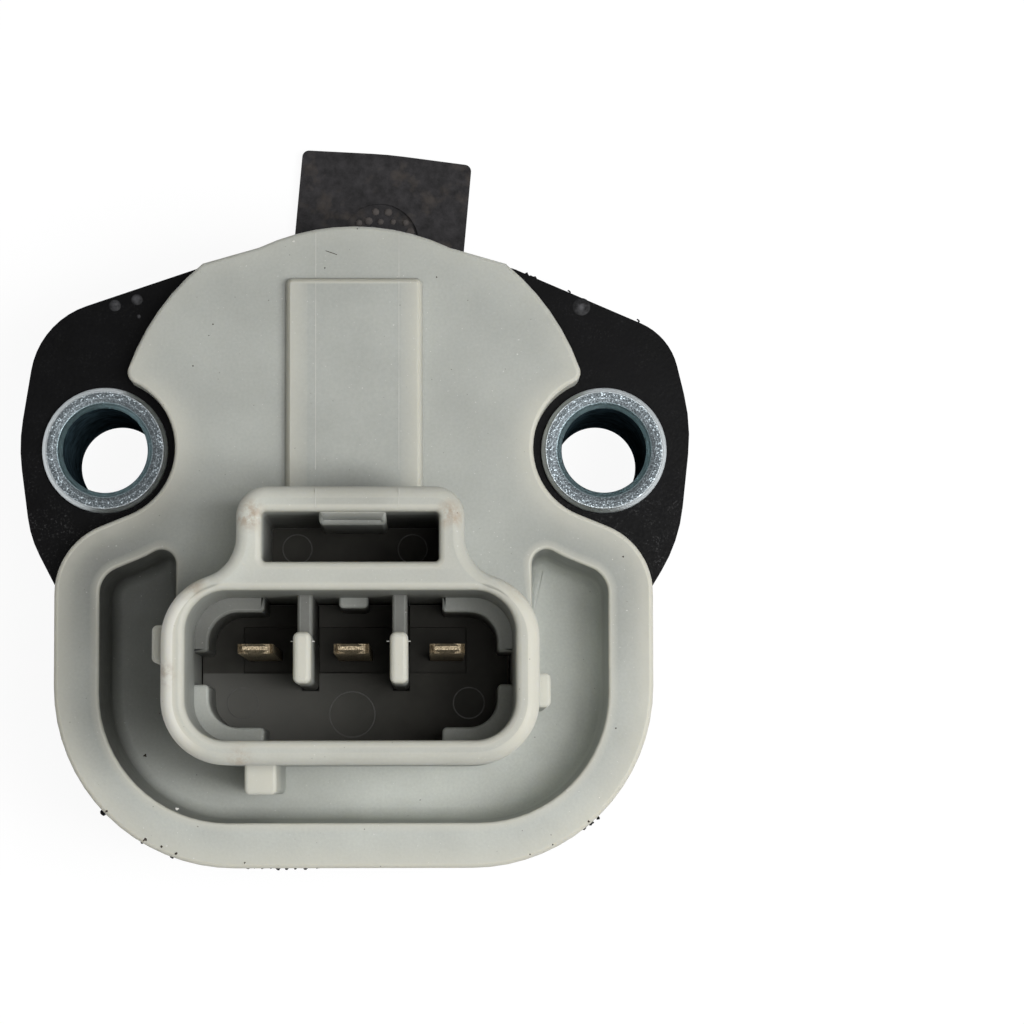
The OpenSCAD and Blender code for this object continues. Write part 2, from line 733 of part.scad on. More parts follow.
module rotor_seal() color("#202022") translate([0, 0, seal_z])
    rotate_extrude($fn = 96) polygon([[hub_r + 0.1, 0.5], [hub_r + 0.5, 0],
        [seal_out_r - insert_fit, 0], [seal_out_r - insert_fit, seal_t],
        [hub_r + 1.2, seal_t], [hub_r + 1.2, 0.7], [hub_r + 0.1, 0.9]]);

module mounting_gasket() color("#3d3b3c") difference() {
    union() {
        cylinder(h = gasket_t, r = gasket_out_r, $fn = 96);
        rotate([0, 0, -tab_lean]) slab(0, gasket_t)
            polygon(rounded([[-tab_w / 2, gasket_in_r, 0], [tab_w / 2, gasket_in_r, 0],
                [tab_w / 2, tab_reach, 0.5], [0, tab_reach + 0.25, 30],
                [-tab_w / 2, tab_reach, 0.5]]));
    }
    translate([0, 0, -cut]) cylinder(h = gasket_t + 2 * cut, r = gasket_in_r, $fn = 96);
    rotate([0, 0, -tab_lean]) translate([0, tab_dimple_y, gasket_t - 0.25])
        cylinder(h = 1, r = tab_dimple_r, $fn = 64);
}

// Fillet of solder on both faces of a riser
module solder(i) color("#c2c5c8") translate([i * pin_pitch, riser_y, plate_z - print_t]) {
    t = blade_t / 2;
    for (s = [-1, 1]) rotate([90, 0, 90]) translate([0, 0, -blade_w / 2])
        linear_extrude(blade_w) polygon([[s * t, 0], [s * (t + 0.25), 0], [s * t, -0.6]]);
}

base_housing();
cover_housing();
bushing(-1);  // bushing_left
bushing(1);  // bushing_right
terminal_piece(-1);  // terminal_left
terminal_piece(0);  // terminal_middle
terminal_piece(1);  // terminal_right
terminal_carrier();
resistor_substrate();
resistive_track();
collector_track();
conductor_pads();
solder(-1);  // solder_left
solder(0);  // solder_middle
solder(1);  // solder_right
rotor();
wiper();
return_spring();
wave_washer();
rotor_seal();
mounting_gasket();
housing_seal();
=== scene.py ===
"""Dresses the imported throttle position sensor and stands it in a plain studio."""
import math

import bpy
import numpy as np
from bpy.props import FloatProperty, FloatVectorProperty, PointerProperty
from bpy.types import Operator, Panel, PropertyGroup
from mathutils import Matrix, Vector
from mathutils.geometry import delaunay_2d_cdt, tessellate_polygon


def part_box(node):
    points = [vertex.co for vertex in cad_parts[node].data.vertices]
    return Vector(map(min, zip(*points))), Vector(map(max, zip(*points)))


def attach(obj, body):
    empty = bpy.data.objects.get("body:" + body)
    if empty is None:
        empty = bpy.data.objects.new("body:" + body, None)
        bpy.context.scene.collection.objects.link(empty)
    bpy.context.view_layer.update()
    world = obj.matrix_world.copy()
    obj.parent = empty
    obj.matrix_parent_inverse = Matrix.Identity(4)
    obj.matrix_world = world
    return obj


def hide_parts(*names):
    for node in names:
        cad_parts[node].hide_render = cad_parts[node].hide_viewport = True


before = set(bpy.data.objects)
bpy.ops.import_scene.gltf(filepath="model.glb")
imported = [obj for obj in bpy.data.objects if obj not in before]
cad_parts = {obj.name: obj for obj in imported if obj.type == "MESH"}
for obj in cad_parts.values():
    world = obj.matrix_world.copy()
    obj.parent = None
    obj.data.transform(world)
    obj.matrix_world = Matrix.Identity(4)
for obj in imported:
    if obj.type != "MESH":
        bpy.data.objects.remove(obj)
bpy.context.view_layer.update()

bl_info = {
    "name": "Throttle Position Sensor",
    "version": (1, 0, 0),
    "blender": (4, 5, 0),
    "location": "3D View > Sidebar > Sensor",
    "description": "Builds a throttle position sensor with its cover, connector and bushings",
    "category": "Object",
}

MM = 0.001
ARC_STEP = 6  # degrees between the points of an arc
LAND = 0.04  # flat strip beside a rounding
ROOT = 0.3  # how far a form reaches into what carries it
SMOOTH_A, STEEP_A = 35.0, 22  # degrees from which an edge is shaded sharp

# Outline of the cover, in millimetres from the rotor axis
CROWN_R, CROWN_HALF_W, FLANK_STEP = 15.4, 6.6, 3.9
FLANK_R, TIP_R, GAP_R = 16.55, 0.8, 5.0
BODY_HALF_W, BODY_DROP, BODY_R, SHOULDER_R = 20.62, 28.95, 12.5, 5.0
LEAVE_A = 247.9  # angle at which the gap round the bushing runs into the shoulder
PITCH, BORE_R, BUSHING_R = 34.74, 2.95, 4.375

# Heights above the mounting face
BASE_Z, COVER_Z, STRIP_Z = 15.2, 18.2, 19.1
MOAT_Z, MOAT_UNDER_Z = 9.0, 7.5
MOUTH_Z, FLOOR_Z, WINDOW_Z = 31.0, 11.2, 13.6
LATCH_UNDER_Z = 12.1
BLOCK_Z, WEB_Z, POST_Z, RIB_Z = 20.0, 23.7, 30.0, 26.0
SHRED_Z, RECESS_Z = 16.9, 0.55

# Connector
SHROUD_HALF_W, SHROUD_LOW, SHROUD_TOP, SHROUD_R = 12.46, -21.94, -9.36, 4.3
PLUG_HALF_W, PLUG_LOW, PLUG_TOP, PLUG_R = 10.86, -20.34, -10.48, 2.7
LATCH_HALF_W, LATCH_TOP, LATCH_R, FLARE_R = 7.53, -3.6, 2.0, 2.8
WINDOW_HALF_W, WINDOW_LOW, WINDOW_TOP = 5.83, -8.6, -5.3
DIVIDER_X = 3.1925

# Strip on the cover, and the recess in the gasket's tab
STRIP_HALF_W, STRIP_LOW, STRIP_TOP = 4.75, -4.6, 11.75
RECESS_X, RECESS_Y, RECESS_R = 1.65, 16.65, 2.45

# The picture's scale at height z is VIEW_FOCUS / (VIEW_Z - z), and VIEW_SPOT shows VIEW_PLACE
VIEW_FOCUS, VIEW_Z = 3756, 277
VIEW_SPOT, VIEW_PLACE = (428, 782), (5.11, -23.05)


# ---- outlines

def unit(v):
    """The vector divided by its length."""
    return v / np.linalg.norm(v)


def arc(centre, radius, start, stop, side=1.0):
    """Arc about a centre between two angles: rows of x, y and the outward normal."""
    count = max(2, math.ceil(abs(stop - start) / ARC_STEP)) + 1
    t = np.radians(np.linspace(start, stop, count))
    ray = np.stack([np.cos(t), np.sin(t)], 1)
    return np.hstack([np.asarray(centre, float) + radius * ray, side * ray])


def corner(before, at, after, radius, hand=1.0):
    """Arc of the given radius, tangent to both edges that meet at a corner."""
    p, q, s = (np.array(v[:2], float) for v in (before, at, after))
    u, v = unit(p - q), unit(s - q)
    half = math.acos(np.clip(u @ v, -1, 1)) / 2
    centre = q + unit(u + v) * radius / math.sin(half)
    d = q + u * radius / math.tan(half) - centre
    e = q + v * radius / math.tan(half) - centre
    start = math.degrees(math.atan2(d[1], d[0]))
    turn = math.degrees(math.atan2(d[0] * e[1] - d[1] * e[0], d @ e))
    side = hand * np.sign(v[0] * u[1] - v[1] * u[0])
    return arc(centre, radius, start, start + turn, side)


def rounded(corners):
    """Counter-clockwise outline through corners x, y, radius, each one rounded."""
    n = len(corners)
    return np.vstack([corner(corners[i - 1], corners[i], corners[(i + 1) % n],
                             corners[i][2]) for i in range(n)])


def centred(half_w, low, top, radius, x=0.0):
    """Rectangle about the line at x, with its corners rounded."""
    return rounded([(x - half_w, low, radius), (x + half_w, low, radius),
                    (x + half_w, top, radius), (x - half_w, top, radius)])


def mirrored(outline):
    """The outline with x and its normals' x turned round."""
    return outline * np.array([-1, 1, -1, 1])


def two_sided(right):
    """Rounded outline through the right side's corners, from the lowest up, and their mirrors."""
    left = [(-x, y, r) for x, y, r in right[::-1]]
    return rounded(left[-1:] + right + left[:-1])


def cover_outline():
    """Edge of the cover: crown, flank, tip, gap round the bushing, shoulder, corner."""
    gap_c = np.array([PITCH / 2, 0.0])
    outer, inner = FLANK_R - TIP_R, GAP_R + TIP_R
    tip_x = (outer ** 2 - inner ** 2 + gap_c[0] ** 2) / (2 * gap_c[0])
    tip_c = np.array([tip_x, math.sqrt(outer ** 2 - tip_x ** 2)])
    tip_start = math.degrees(math.atan2(tip_c[1], tip_c[0]))
    tip_end = math.degrees(math.atan2(-tip_c[1], gap_c[0] - tip_c[0]))
    leave = math.radians(LEAVE_A)
    leave_p = gap_c + GAP_R * np.array([math.cos(leave), math.sin(leave)])
    ahead = np.array([-math.sin(leave), math.cos(leave)])
    shoulder = leave_p + ahead * (BODY_HALF_W - leave_p[0]) / ahead[0]
    low = (BODY_HALF_W, -BODY_DROP)
    crown_end = math.degrees(math.acos(CROWN_HALF_W / CROWN_R))
    flank_start = math.degrees(math.acos((CROWN_HALF_W + FLANK_STEP) / FLANK_R))
    right = np.vstack([
        arc((0, 0), CROWN_R, 90, crown_end),
        arc((0, 0), FLANK_R, flank_start, tip_start),
        arc(tip_c, TIP_R, tip_start, tip_end),
        arc(gap_c, GAP_R, tip_end + 180, LEAVE_A, -1.0),
        corner(leave_p, shoulder, low, SHOULDER_R, -1.0),
        corner(shoulder, low, (0, -BODY_DROP), BODY_R, -1.0)])
    return np.vstack([mirrored(right), right[:0:-1]])


def moat_outline():
    """Edge of the moat. Its upper side runs hidden inside the wall of the shroud."""
    outline = two_sided([(17.52, -25.85, 8.9), (17.52, -8.803, 1.9), (14.32, -7.505, 8.0),
                         (12.26, -6.28, 1.0), (12.26, -12.9, 0.1), (10.63, -10.95, 0.1),
                         (8.2, -9.92, 0.1)])
    hidden = (abs(outline[:, 0]) < 12.27) & (outline[:, 1] > -13.3) & (outline[:, 1] < -9)
    outline[hidden, 2:] *= 0.05
    return outline


def bowl_outline():
    """Outside of the moat's wall under the cover plate."""
    return two_sided([(18.72, -27.05, 10.1), (18.72, -7.995, 3.1), (13.8, -6.0, 1.0),
                      (11.2, -4.9, 0.8), (11.1, -8.9, 0.3)])


def connector_outline():
    """Outside of the shroud and the latch block, joined by a concave flare."""
    c1 = np.array([SHROUD_HALF_W - SHROUD_R, SHROUD_TOP - SHROUD_R])
    c2x = LATCH_HALF_W + FLARE_R
    reach = SHROUD_R + FLARE_R
    c2 = np.array([c2x, c1[1] + math.sqrt(reach ** 2 - (c2x - c1[0]) ** 2)])
    lean = math.degrees(math.atan2(c2[1] - c1[1], c2[0] - c1[0]))
    right = np.vstack([
        arc(c1, SHROUD_R, 0, lean),
        arc(c2, FLARE_R, lean + 180, 180, -1.0),
        corner((LATCH_HALF_W, c2[1]), (LATCH_HALF_W, LATCH_TOP), (0, LATCH_TOP), LATCH_R)])
    low = np.vstack([
        corner((-SHROUD_HALF_W, 0), (-SHROUD_HALF_W, SHROUD_LOW), (0, SHROUD_LOW), SHROUD_R),
        corner((0, SHROUD_LOW), (SHROUD_HALF_W, SHROUD_LOW), (SHROUD_HALF_W, 0), SHROUD_R)])
    return np.vstack([low, right, mirrored(right)[::-1]])


def circle(centre, radius, count=96):
    """Centre plus radius times cos and sin of evenly spaced angles."""
    t = np.linspace(0, 2 * math.pi, count, endpoint=False)
    ray = np.stack([np.cos(t), np.sin(t)], 1)
    return np.hstack([np.asarray(centre, float) + radius * ray, ray])


def bar(start, end, width):
    """Outline of a straight bar between two points."""
    a, b = np.array(start, float), np.array(end, float)
    u = unit(b - a)
    n = np.array([-u[1], u[0]])
    half = n * width / 2
    return np.hstack([[a - half, b - half, b + half, a + half],
                      np.array([-u - n, u - n, u + n, n - u]) / math.sqrt(2)])


def fleck(centre, radius, seed):
    """Ragged outline: nine points round a centre, each at its own distance from it."""
    ray = circle((0, 0), 0, 9)[:, 2:]
    reach = radius * np.random.default_rng(seed).uniform(0.55, 1.25, 9)
    return np.hstack([np.asarray(centre, float) + reach[:, None] * ray, ray])


def spot(px, py, z):
    """Place x, y on the plane at height z of a point measured in the picture's frame."""
    scale = VIEW_FOCUS / (VIEW_Z - z)
    return (VIEW_PLACE[0] + (px - VIEW_SPOT[0]) / scale,
            VIEW_PLACE[1] + (VIEW_SPOT[1] - py) / scale)


def inside(points, loop):
    """Whether each point lies in the loop: an odd count of edges lies to its right."""
    x, y = points[:, :1], points[:, 1:2]
    (ax, ay), (bx, by) = loop.T, np.roll(loop, -1, 0).T
    rise = np.where(by == ay, 1e-9, by - ay)
    return (((ay > y) != (by > y)) & (x < (bx - ax) * (y - ay) / rise + ax)).sum(1) % 2 == 1


def distance(points, loop):
    """Distance of each point from the nearest edge of the loop."""
    a, b = loop, np.roll(loop, -1, 0)
    along = b - a
    share = ((points[:, None] - a) * along).sum(2) / np.maximum((along ** 2).sum(1), 1e-12)
    foot = a + np.clip(share, 0, 1)[..., None] * along
    return np.linalg.norm(points[:, None] - foot, axis=2).min(1)


def ring(outline, d, z):
    """The outline moved outwards by d along its normals, at height z."""
    flat = outline[:, :2] + d * outline[:, 2:]
    return np.column_stack([flat, np.broadcast_to(z, len(flat))])


def round_rows(d, z, radius, steps=4, tone=1.0):
    """Profile of a quarter round from the wall at d to the face at z, with flat lands."""
    t = np.linspace(0, math.pi / 2, steps + 1)
    rows = np.column_stack([d - radius * (1 - np.cos(t)),
                            z - radius * (1 - np.sin(t)), np.full(len(t), tone)])
    return np.vstack([[d, z - radius - LAND, tone], rows, [d - radius - LAND, z, tone * 0.6]])


def mouth_rows(z, radius, steps, tone):
    """Profile of the quarter round where an opening's wall leaves the face at z."""
    t = np.linspace(0, math.pi / 2, steps + 1)
    return np.column_stack([radius * (1 - np.sin(t)), z - radius * (1 - np.cos(t)),
                            np.full(len(t), tone)])


# ---- meshes

class Shell:
    """Points and faces of one closed piece, gathered as whole arrays."""

    def __init__(self):
        self.points, self.tones, self.faces, self.count = [], [], [], 0

    def add(self, points, tone):
        """Keeps the points and returns their numbers."""
        self.points.append(points)
        self.tones.append(np.broadcast_to(tone, len(points)))
        self.count += len(points)
        return np.arange(self.count - len(points), self.count)

    def band(self, rings, tones=0.0, loop=False):
        """Four-sided faces between neighbouring rings with the same count of points."""
        tones = [tones] * len(rings) if np.isscalar(tones) else tones
        ids = [self.add(r, t) for r, t in zip(rings, tones)]
        for a, b in zip(ids, ids[1:] + ids[:1] if loop else ids[1:]):
            self.faces.append(np.stack([a, np.roll(a, -1), np.roll(b, -1), b], 1))
        return ids[0], ids[-1]

    def cap(self, loops, up=True):
        """Flat faces that fill the first loop and leave the others open."""
        points = np.vstack(self.points)
        flat = [[Vector((*points[i, :2], 0)) for i in loop] for loop in loops]
        tri = np.concatenate(loops)[np.array(tessellate_polygon(flat))]
        a, b, c = (points[tri[:, k], :2] for k in range(3))
        u, v = b - a, c - a
        turn = u[:, 0] * v[:, 1] - u[:, 1] * v[:, 0]
        wrong = turn < 0 if up else turn > 0
        tri[wrong] = tri[wrong][:, ::-1]
        self.faces.append(tri)

    def face(self, loops, step, tone, reach):
        """Flat upper face on a grid. Its tone, a painted highlight, fades with distance from the
        first loop.
        """
        points = np.vstack(self.points)
        rims = [points[loop][:, :2] for loop in loops]
        low, high = rims[0].min(0), rims[0].max(0)
        grid = np.stack(np.meshgrid(np.arange(low[0], high[0], step),
                                    np.arange(low[1], high[1], step)), 2).reshape(-1, 2)

        def held(spots):
            return inside(spots, rims[0]) & ~np.any([inside(spots, r) for r in rims[1:]], axis=0)

        gap = distance(grid, rims[0])
        near = np.min([distance(grid, r) for r in rims], axis=0)
        keep = held(grid) & (near > step * 0.45)
        grid, gap = grid[keep], gap[keep]
        ids = self.add(np.column_stack([grid, np.full(len(grid), points[loops[0][0], 2])]),
                       tone * np.exp(-(gap / reach) ** 1.3))
        every = np.concatenate([*loops, ids])
        edges, start = [], 0
        for r in rims:
            k = np.arange(len(r))
            edges += (np.stack([k, np.roll(k, -1)], 1) + start).tolist()
            start += len(r)
        flat = np.vstack([*rims, grid])
        made = delaunay_2d_cdt([Vector(v) for v in flat], edges, [], 0, 1e-7)
        tri = np.array([came[0] for came in made[3]])[np.array(made[2])]
        tri = tri[held(flat[tri].mean(1))]
        self.faces.append(every[tri])

    def profile(self, outline, rows):
        """The profile rows d, z, tone carried along the outline."""
        return self.band([ring(outline, d, z) for d, z, _ in rows], [r[2] for r in rows])

    def solid(self, outline, rows):
        """The profile rows carried along the outline, with both ends filled."""
        first, last = self.profile(outline, rows)
        self.cap([first], up=False)
        self.cap([last])

    def piece(self, name, material, smooth=SMOOTH_A):
        """Object at the origin, with its tones of painted light and shade as a point attribute."""
        points = np.vstack(self.points) * MM
        faces = [f for group in self.faces for f in group.tolist()]
        mesh = bpy.data.meshes.new(name)
        mesh.from_pydata(points.tolist(), [], faces)
        # the tones paint light and shade: painted highlight above 0, painted shade below 0
        tone = mesh.attributes.new("painted_light_tone", "FLOAT", "POINT")
        tone.data.foreach_set("value", np.concatenate(self.tones).astype(np.float32))
        mesh.polygons.foreach_set("use_smooth", np.ones(len(faces), bool))
        mesh.set_sharp_from_angle(angle=math.radians(smooth))
        mesh.validate()
        obj = bpy.data.objects.new(name, mesh)
        bpy.context.scene.collection.objects.link(obj)
        mesh.materials.append(material)
        return obj


def prism(shell, outline, low, high, radius, tone, dark=0.0):
    """Block over an outline: tone paints the rounded upper edge, as highlight above 0 and as shade
    below, dark paints shade at the foot.
    """
    shell.solid(outline, [(0, low, dark), (0, (low + high) / 2, dark),
                          *round_rows(0, high, radius, 3, tone), (-radius - LAND, high, tone)])


def chip(shell, outline, z, height, lean=0.02):
    """Low flake over an outline, a little narrower at the top."""
    shell.solid(outline, [(0, z - LAND, 0.6), (-lean, z + height, 0.6)])


def flecks(shell, rows, seed, z, height, lift=0.0):
    """Ragged flakes at places in the picture: rows of px, py, radius and, if not z, a height."""
    for count, (px, py, radius, *own) in enumerate(rows):
        low = own[0] if own else z
        chip(shell, fleck(spot(px, py, low + lift), radius, seed + count), low, height)


def line(shell, start, end, z, width, height):
    """Straight raised line between two places in the picture."""
    chip(shell, bar(spot(*start, z), spot(*end, z), width), z, height)


def dome(shell, centre, z, radius, height, count, tone=0.3):
    """Shallow dome: radius times cos and height times sin of one angle."""
    t = np.linspace(0, 1.45, 5)
    rows = [(radius, z - 0.05, 0), *zip(radius * np.cos(t), z + height * np.sin(t), tone * t)]
    shell.solid(circle(centre, 0.0, count), rows)


def fitted(shell, name, key="cover_plastic", replaces=(), smooth=SMOOTH_A):
    """The shell as a piece that rides on the housing, with its finish."""
    obj = shell.piece(name, finish(key), smooth)
    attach(obj, "housing")
    if replaces:
        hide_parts(*replaces)
    return obj


# ---- materials

class Finish:
    """Node material round one Principled shader, with short calls to add nodes."""

    def __init__(self, name, colour, roughness, metallic=0.0, specular=0.5):
        self.material = bpy.data.materials.new(name + "_finish")
        self.material.use_nodes = True
        self.tree = self.material.node_tree
        self.shader = self.tree.nodes["Principled BSDF"]
        self.fill(self.shader, Base_Color=(*colour, 1), Roughness=roughness, Metallic=metallic,
                  Specular_IOR_Level=specular)
        self.place = self.node("TexCoord").outputs["Object"]

    def node(self, kind, **props):
        """New node with its settings."""
        made = self.tree.nodes.new("ShaderNode" + kind)
        for key, value in props.items():
            setattr(made, key, value)
        return made

    def fill(self, node, **inputs):
        """Sets or links the inputs of a node by name, or by number as n0, n1."""
        for key, value in inputs.items():
            name = int(key[1:]) if key[0] == "n" and key[1:].isdigit() else key.replace("_", " ")
            socket = node.inputs[name]
            if hasattr(value, "links"):
                self.tree.links.new(value, socket)
            else:
                socket.default_value = value
        return node

    def axes(self):
        """X, Y and Z of the place, in metres."""
        return self.fill(self.node("SeparateXYZ"), Vector=self.place).outputs

    def noise(self, size, detail=2.0, rough=0.5):
        """Noise whose grains are about size millimetres."""
        return self.fill(self.node("TexNoise"), Scale=1 / (size * MM), Detail=detail,
                         Roughness=rough, Vector=self.place).outputs["Fac"]

    def span(self, value, low, high, to_low=0.0, to_high=1.0, smooth=False):
        """Maps a range of a value onto another range, and holds it at the ends."""
        made = self.node("MapRange", interpolation_type="SMOOTHSTEP" if smooth else "LINEAR")
        return self.fill(made, n0=value, n1=low, n2=high, n3=to_low, n4=to_high).outputs[0]

    def pool(self, x, y, near, far, strength):
        """Round patch about the place x, y in mm: full within near, nothing beyond far."""
        flat = self.fill(self.node("VectorMath", operation="MULTIPLY"),
                         n0=self.place, n1=(1, 1, 0)).outputs[0]
        away = self.fill(self.node("VectorMath", operation="DISTANCE"),
                         n0=flat, n1=(x * MM, y * MM, 0)).outputs["Value"]
        return self.span(away, near * MM, far * MM, strength, 0.0, smooth=True)

    def maths(self, operation, a, b=0.0, c=0.0):
        """The result of a Math node."""
        made = self.node("Math", operation=operation)
        return self.fill(made, n0=a, n1=b, n2=c).outputs[0]

    def mix(self, factor, a, b, blend="MIX"):
        """Colour from a to b by the factor."""
        made = self.node("Mix", data_type="RGBA", blend_type=blend)
        a, b = (v if hasattr(v, "links") else (*v, 1) for v in (a, b))
        return self.fill(made, n0=factor, n6=a, n7=b).outputs[2]

    def tint(self, colour, value):
        """The colour multiplied by a value."""
        return self.mix(1.0, colour, value, "MULTIPLY")

    def colour(self, value):
        """Links the base colour."""
        self.fill(self.shader, Base_Color=value)

    def roughness(self, value):
        """Links the roughness."""
        self.fill(self.shader, Roughness=value)

    def bump(self, height, depth):
        """Links a bump of the given depth in millimetres."""
        made = self.fill(self.node("Bump"), Strength=1.0, Distance=depth * MM, Height=height)
        self.fill(self.shader, Normal=made.outputs["Normal"])


def cover_plastic(look):
    """Moulded grey plastic, cloudy and fine grained, with pale specks painted as glints.

    The tone paints light and shade: painted shade down to dark at -1.25, plain at 0,
    painted highlight in the edge's colour at 1 and in ivory at 2.
    The painted light and shade darkens or lightens whole zones: each pool is x, y, near, far,
    strength.
    """
    f = Finish("cover_plastic", look.cover_colour, 0.46, specular=0.25)
    f.fill(f.shader, Subsurface_Weight=0.3, Subsurface_Radius=(1.0, 0.92, 0.7),
           Subsurface_Scale=1.6 * MM)
    tone = f.node("Attribute", attribute_name="painted_light_tone").outputs["Fac"]
    axes = f.axes()
    # the painted light and shade of the tones is weaker on the upper part, away from the middle
    tone = f.maths("MULTIPLY", tone, f.maths("MAXIMUM", f.pool(0, 3, 9.5, 12, 1.0), f.span(
        axes["Y"], 0.003, 0.009, 1.0, 0.3)))
    deep = f.span(axes["Z"], 0.0125, 0.009)
    # painted light and shade: lower rim lighter, moat floor darker on the left and lighter on the
    # right, lip lighter on the left and darker on the right
    painted_light = f.maths("MULTIPLY", f.span(axes["Y"], -0.02, -0.026, smooth=True),
                    f.span(axes["Z"], 0.024, 0.019))
    painted_light = f.maths("ADD", painted_light, f.maths("MULTIPLY", deep, f.span(
        axes["X"], -0.012, 0.006, -1.1, 1.3, smooth=True)))
    painted_light = f.maths("ADD", painted_light, f.maths("MULTIPLY", f.span(axes["Z"], 0.027, 0.03), f.span(
        axes["X"], -0.0115, 0.0115, 0.8, -0.4)))
    # painted light in the moat's right arm and its lower corners
    for patch in ((14.5, -12, 3, 8, 1.6), (-12, -23.5, 2, 7, 1.3), (13.8, -22, 1.5, 6, 1.3)):
        painted_light = f.maths("ADD", painted_light, f.maths("MULTIPLY", deep, f.pool(*patch)))
    # painted shade at the left rim, on the right and next to the latch block's upper side; painted
    # light left of the latch block
    for patch in ((-19, -6.5, 0.5, 9, -2.4), (-9, -6.5, 1, 5.5, 2.4), (17.5, -8, 2, 9, -1.2),
                  (0, -4.2, 1, 4, -1.3)):
        painted_light = f.maths("ADD", painted_light, f.pool(*patch))
    cloud = f.span(f.noise(5, 3), 0.35, 0.65, 0.94, 1.04)
    grain = f.span(f.noise(0.2, 2), 0.3, 0.7, 0.955, 1.03)
    # pale specks painted as glints
    glint_speck = f.span(f.noise(0.16, 1), 0.76, 0.8)
    dirt = f.span(f.noise(0.22, 1, 0.4), 0.205, 0.18)
    body = f.tint(look.cover_colour, f.maths("MULTIPLY", cloud, grain))
    body = f.tint(body, f.maths("MULTIPLY_ADD", painted_light, 0.2, 1.0))
    # painted shade where the tone is below 0; painted highlight in the edge's colour and in ivory
    # above 0
    body = f.mix(f.span(tone, 0, -1.25, 0.0, 0.94), body, (0.03, 0.028, 0.024))
    body = f.mix(tone, body, look.edge_highlight_colour)
    body = f.mix(f.span(tone, 1, 2), body, (0.84, 0.83, 0.75))
    stain = f.maths("ADD", f.pool(-6.7, -5.5, 0.2, 1.5, 1.0), f.pool(6.6, -5.5, 0.2, 1.3, 1.0))
    for place in ((-10.4, -10.2), (11.3, -10.3), (-7.2, -21.5), (-12.2, -16)):
        stain = f.maths("ADD", stain, f.pool(*place, 0.2, 1.2, 0.6))
    stain = f.maths("MULTIPLY", f.maths("MULTIPLY", stain, f.span(axes["Z"], 0.028, 0.03)),
                    f.span(f.noise(0.7, 4, 0.7), 0.4, 0.6, 0.0, 0.75))
    body = f.mix(stain, body, (0.4, 0.3, 0.21))
    body = f.mix(f.maths("MULTIPLY", glint_speck, 0.55), body, (0.85, 0.85, 0.82))
    body = f.mix(f.maths("MULTIPLY", dirt, 0.6), body, (0.06, 0.04, 0.03))
    f.colour(body)
    f.roughness(f.span(f.noise(0.8, 3), 0.3, 0.7, 0.4, 0.52))
    f.bump(f.noise(0.3, 3), 0.012)
    return f.material


def black_plastic(look):
    """Moulded black plastic with a fine grain, and pale specks painted as glints on its lower
    part.
    """
    f = Finish("black_plastic", look.black_colour, 0.38, specular=0.05)
    cloud = f.span(f.noise(3, 3), 0.35, 0.65, 0.75, 1.25)
    axes = f.axes()
    # painted glints: pale specks, mostly on the lower part
    zone = f.maths("MULTIPLY", f.span(axes["Y"], 0.0, -0.006, 0.15, 1.0),
                   f.span(f.noise(1.5, 3), 0.4, 0.65))
    glint_speck = f.maths("MULTIPLY", zone, f.span(f.noise(0.14, 2), 0.55, 0.75, 0.0, 0.5))
    f.colour(f.mix(glint_speck, f.tint(look.black_colour, cloud), (0.12, 0.12, 0.12)))
    f.roughness(f.span(f.noise(0.25, 2), 0.3, 0.7, 0.29, 0.47))
    f.bump(f.noise(0.25, 3), 0.01)
    return f.material


def carrier_plastic(look):
    """Insert with the blades: dark, with painted light on the step below, strongest at the left.
    """
    f = Finish("carrier_plastic", look.carrier_colour, 0.5, specular=0.05)
    axes = f.axes()
    # painted light on the lower step, fading from the left to the middle
    light = f.maths("MULTIPLY", f.span(axes["Y"], -0.01535, -0.01545),
                    f.span(axes["X"], -0.01, 0.004, 0.75, 0.0))
    body = f.tint(look.carrier_colour, f.span(f.noise(3, 3), 0.35, 0.65, 0.85, 1.15))
    f.colour(f.mix(light, body, (0.16, 0.16, 0.147)))
    f.bump(f.noise(0.5, 3), 0.006)
    return f.material


def zinc_plate(look):
    """Zinc plate with a crystalline speckle, painted glints, a painted highlight round its outer
    edge, a painted reflection on its inner chamfer and faint turning marks.
    """
    f = Finish("zinc_plate", look.zinc_colour, 0.34, metallic=1.0)
    axes = f.axes()
    across = f.maths("SUBTRACT", f.maths("ABSOLUTE", axes["X"]), PITCH / 2 * MM)
    flat = f.fill(f.node("CombineXYZ"), X=across, Y=axes["Y"]).outputs[0]
    radius = f.fill(f.node("VectorMath", operation="LENGTH"), n0=flat).outputs["Value"]
    outer = f.span(radius, 0.00355, 0.0037)
    value = f.span(f.noise(0.12, 3, 0.6), 0.3, 0.7, 0.45, 1.5)
    # painted glints, strongest on the outer part of the face
    painted_glint = f.span(f.noise(0.12, 2, 0.5), 0.58, 0.7, 0.0, 3.4)
    speckled = f.maths("MULTIPLY_ADD", painted_glint, f.maths("MULTIPLY_ADD", outer, 0.75, 0.25), value)
    mark = f.span(f.maths("ABSOLUTE", f.maths("SUBTRACT", radius, 0.00363)), 0.00005, 0.00002,
                  0.0, 0.6)
    body = f.tint(look.zinc_colour, f.maths("ADD", speckled, mark))
    # painted highlight round the outer edge
    body = f.mix(f.span(radius, 0.0040, 0.0042, 0.0, 0.75), body, (0.75, 0.8, 0.82))
    # bluish plating on the inner chamfer, lightened as a painted reflection
    f.colour(f.mix(f.span(radius, 0.00336, 0.0031, 0.0, 0.8), body, (0.42, 0.58, 0.62)))
    f.roughness(f.span(f.noise(0.14, 2), 0.3, 0.7, 0.28, 0.5))
    f.bump(f.noise(0.12, 3), 0.03)
    return f.material


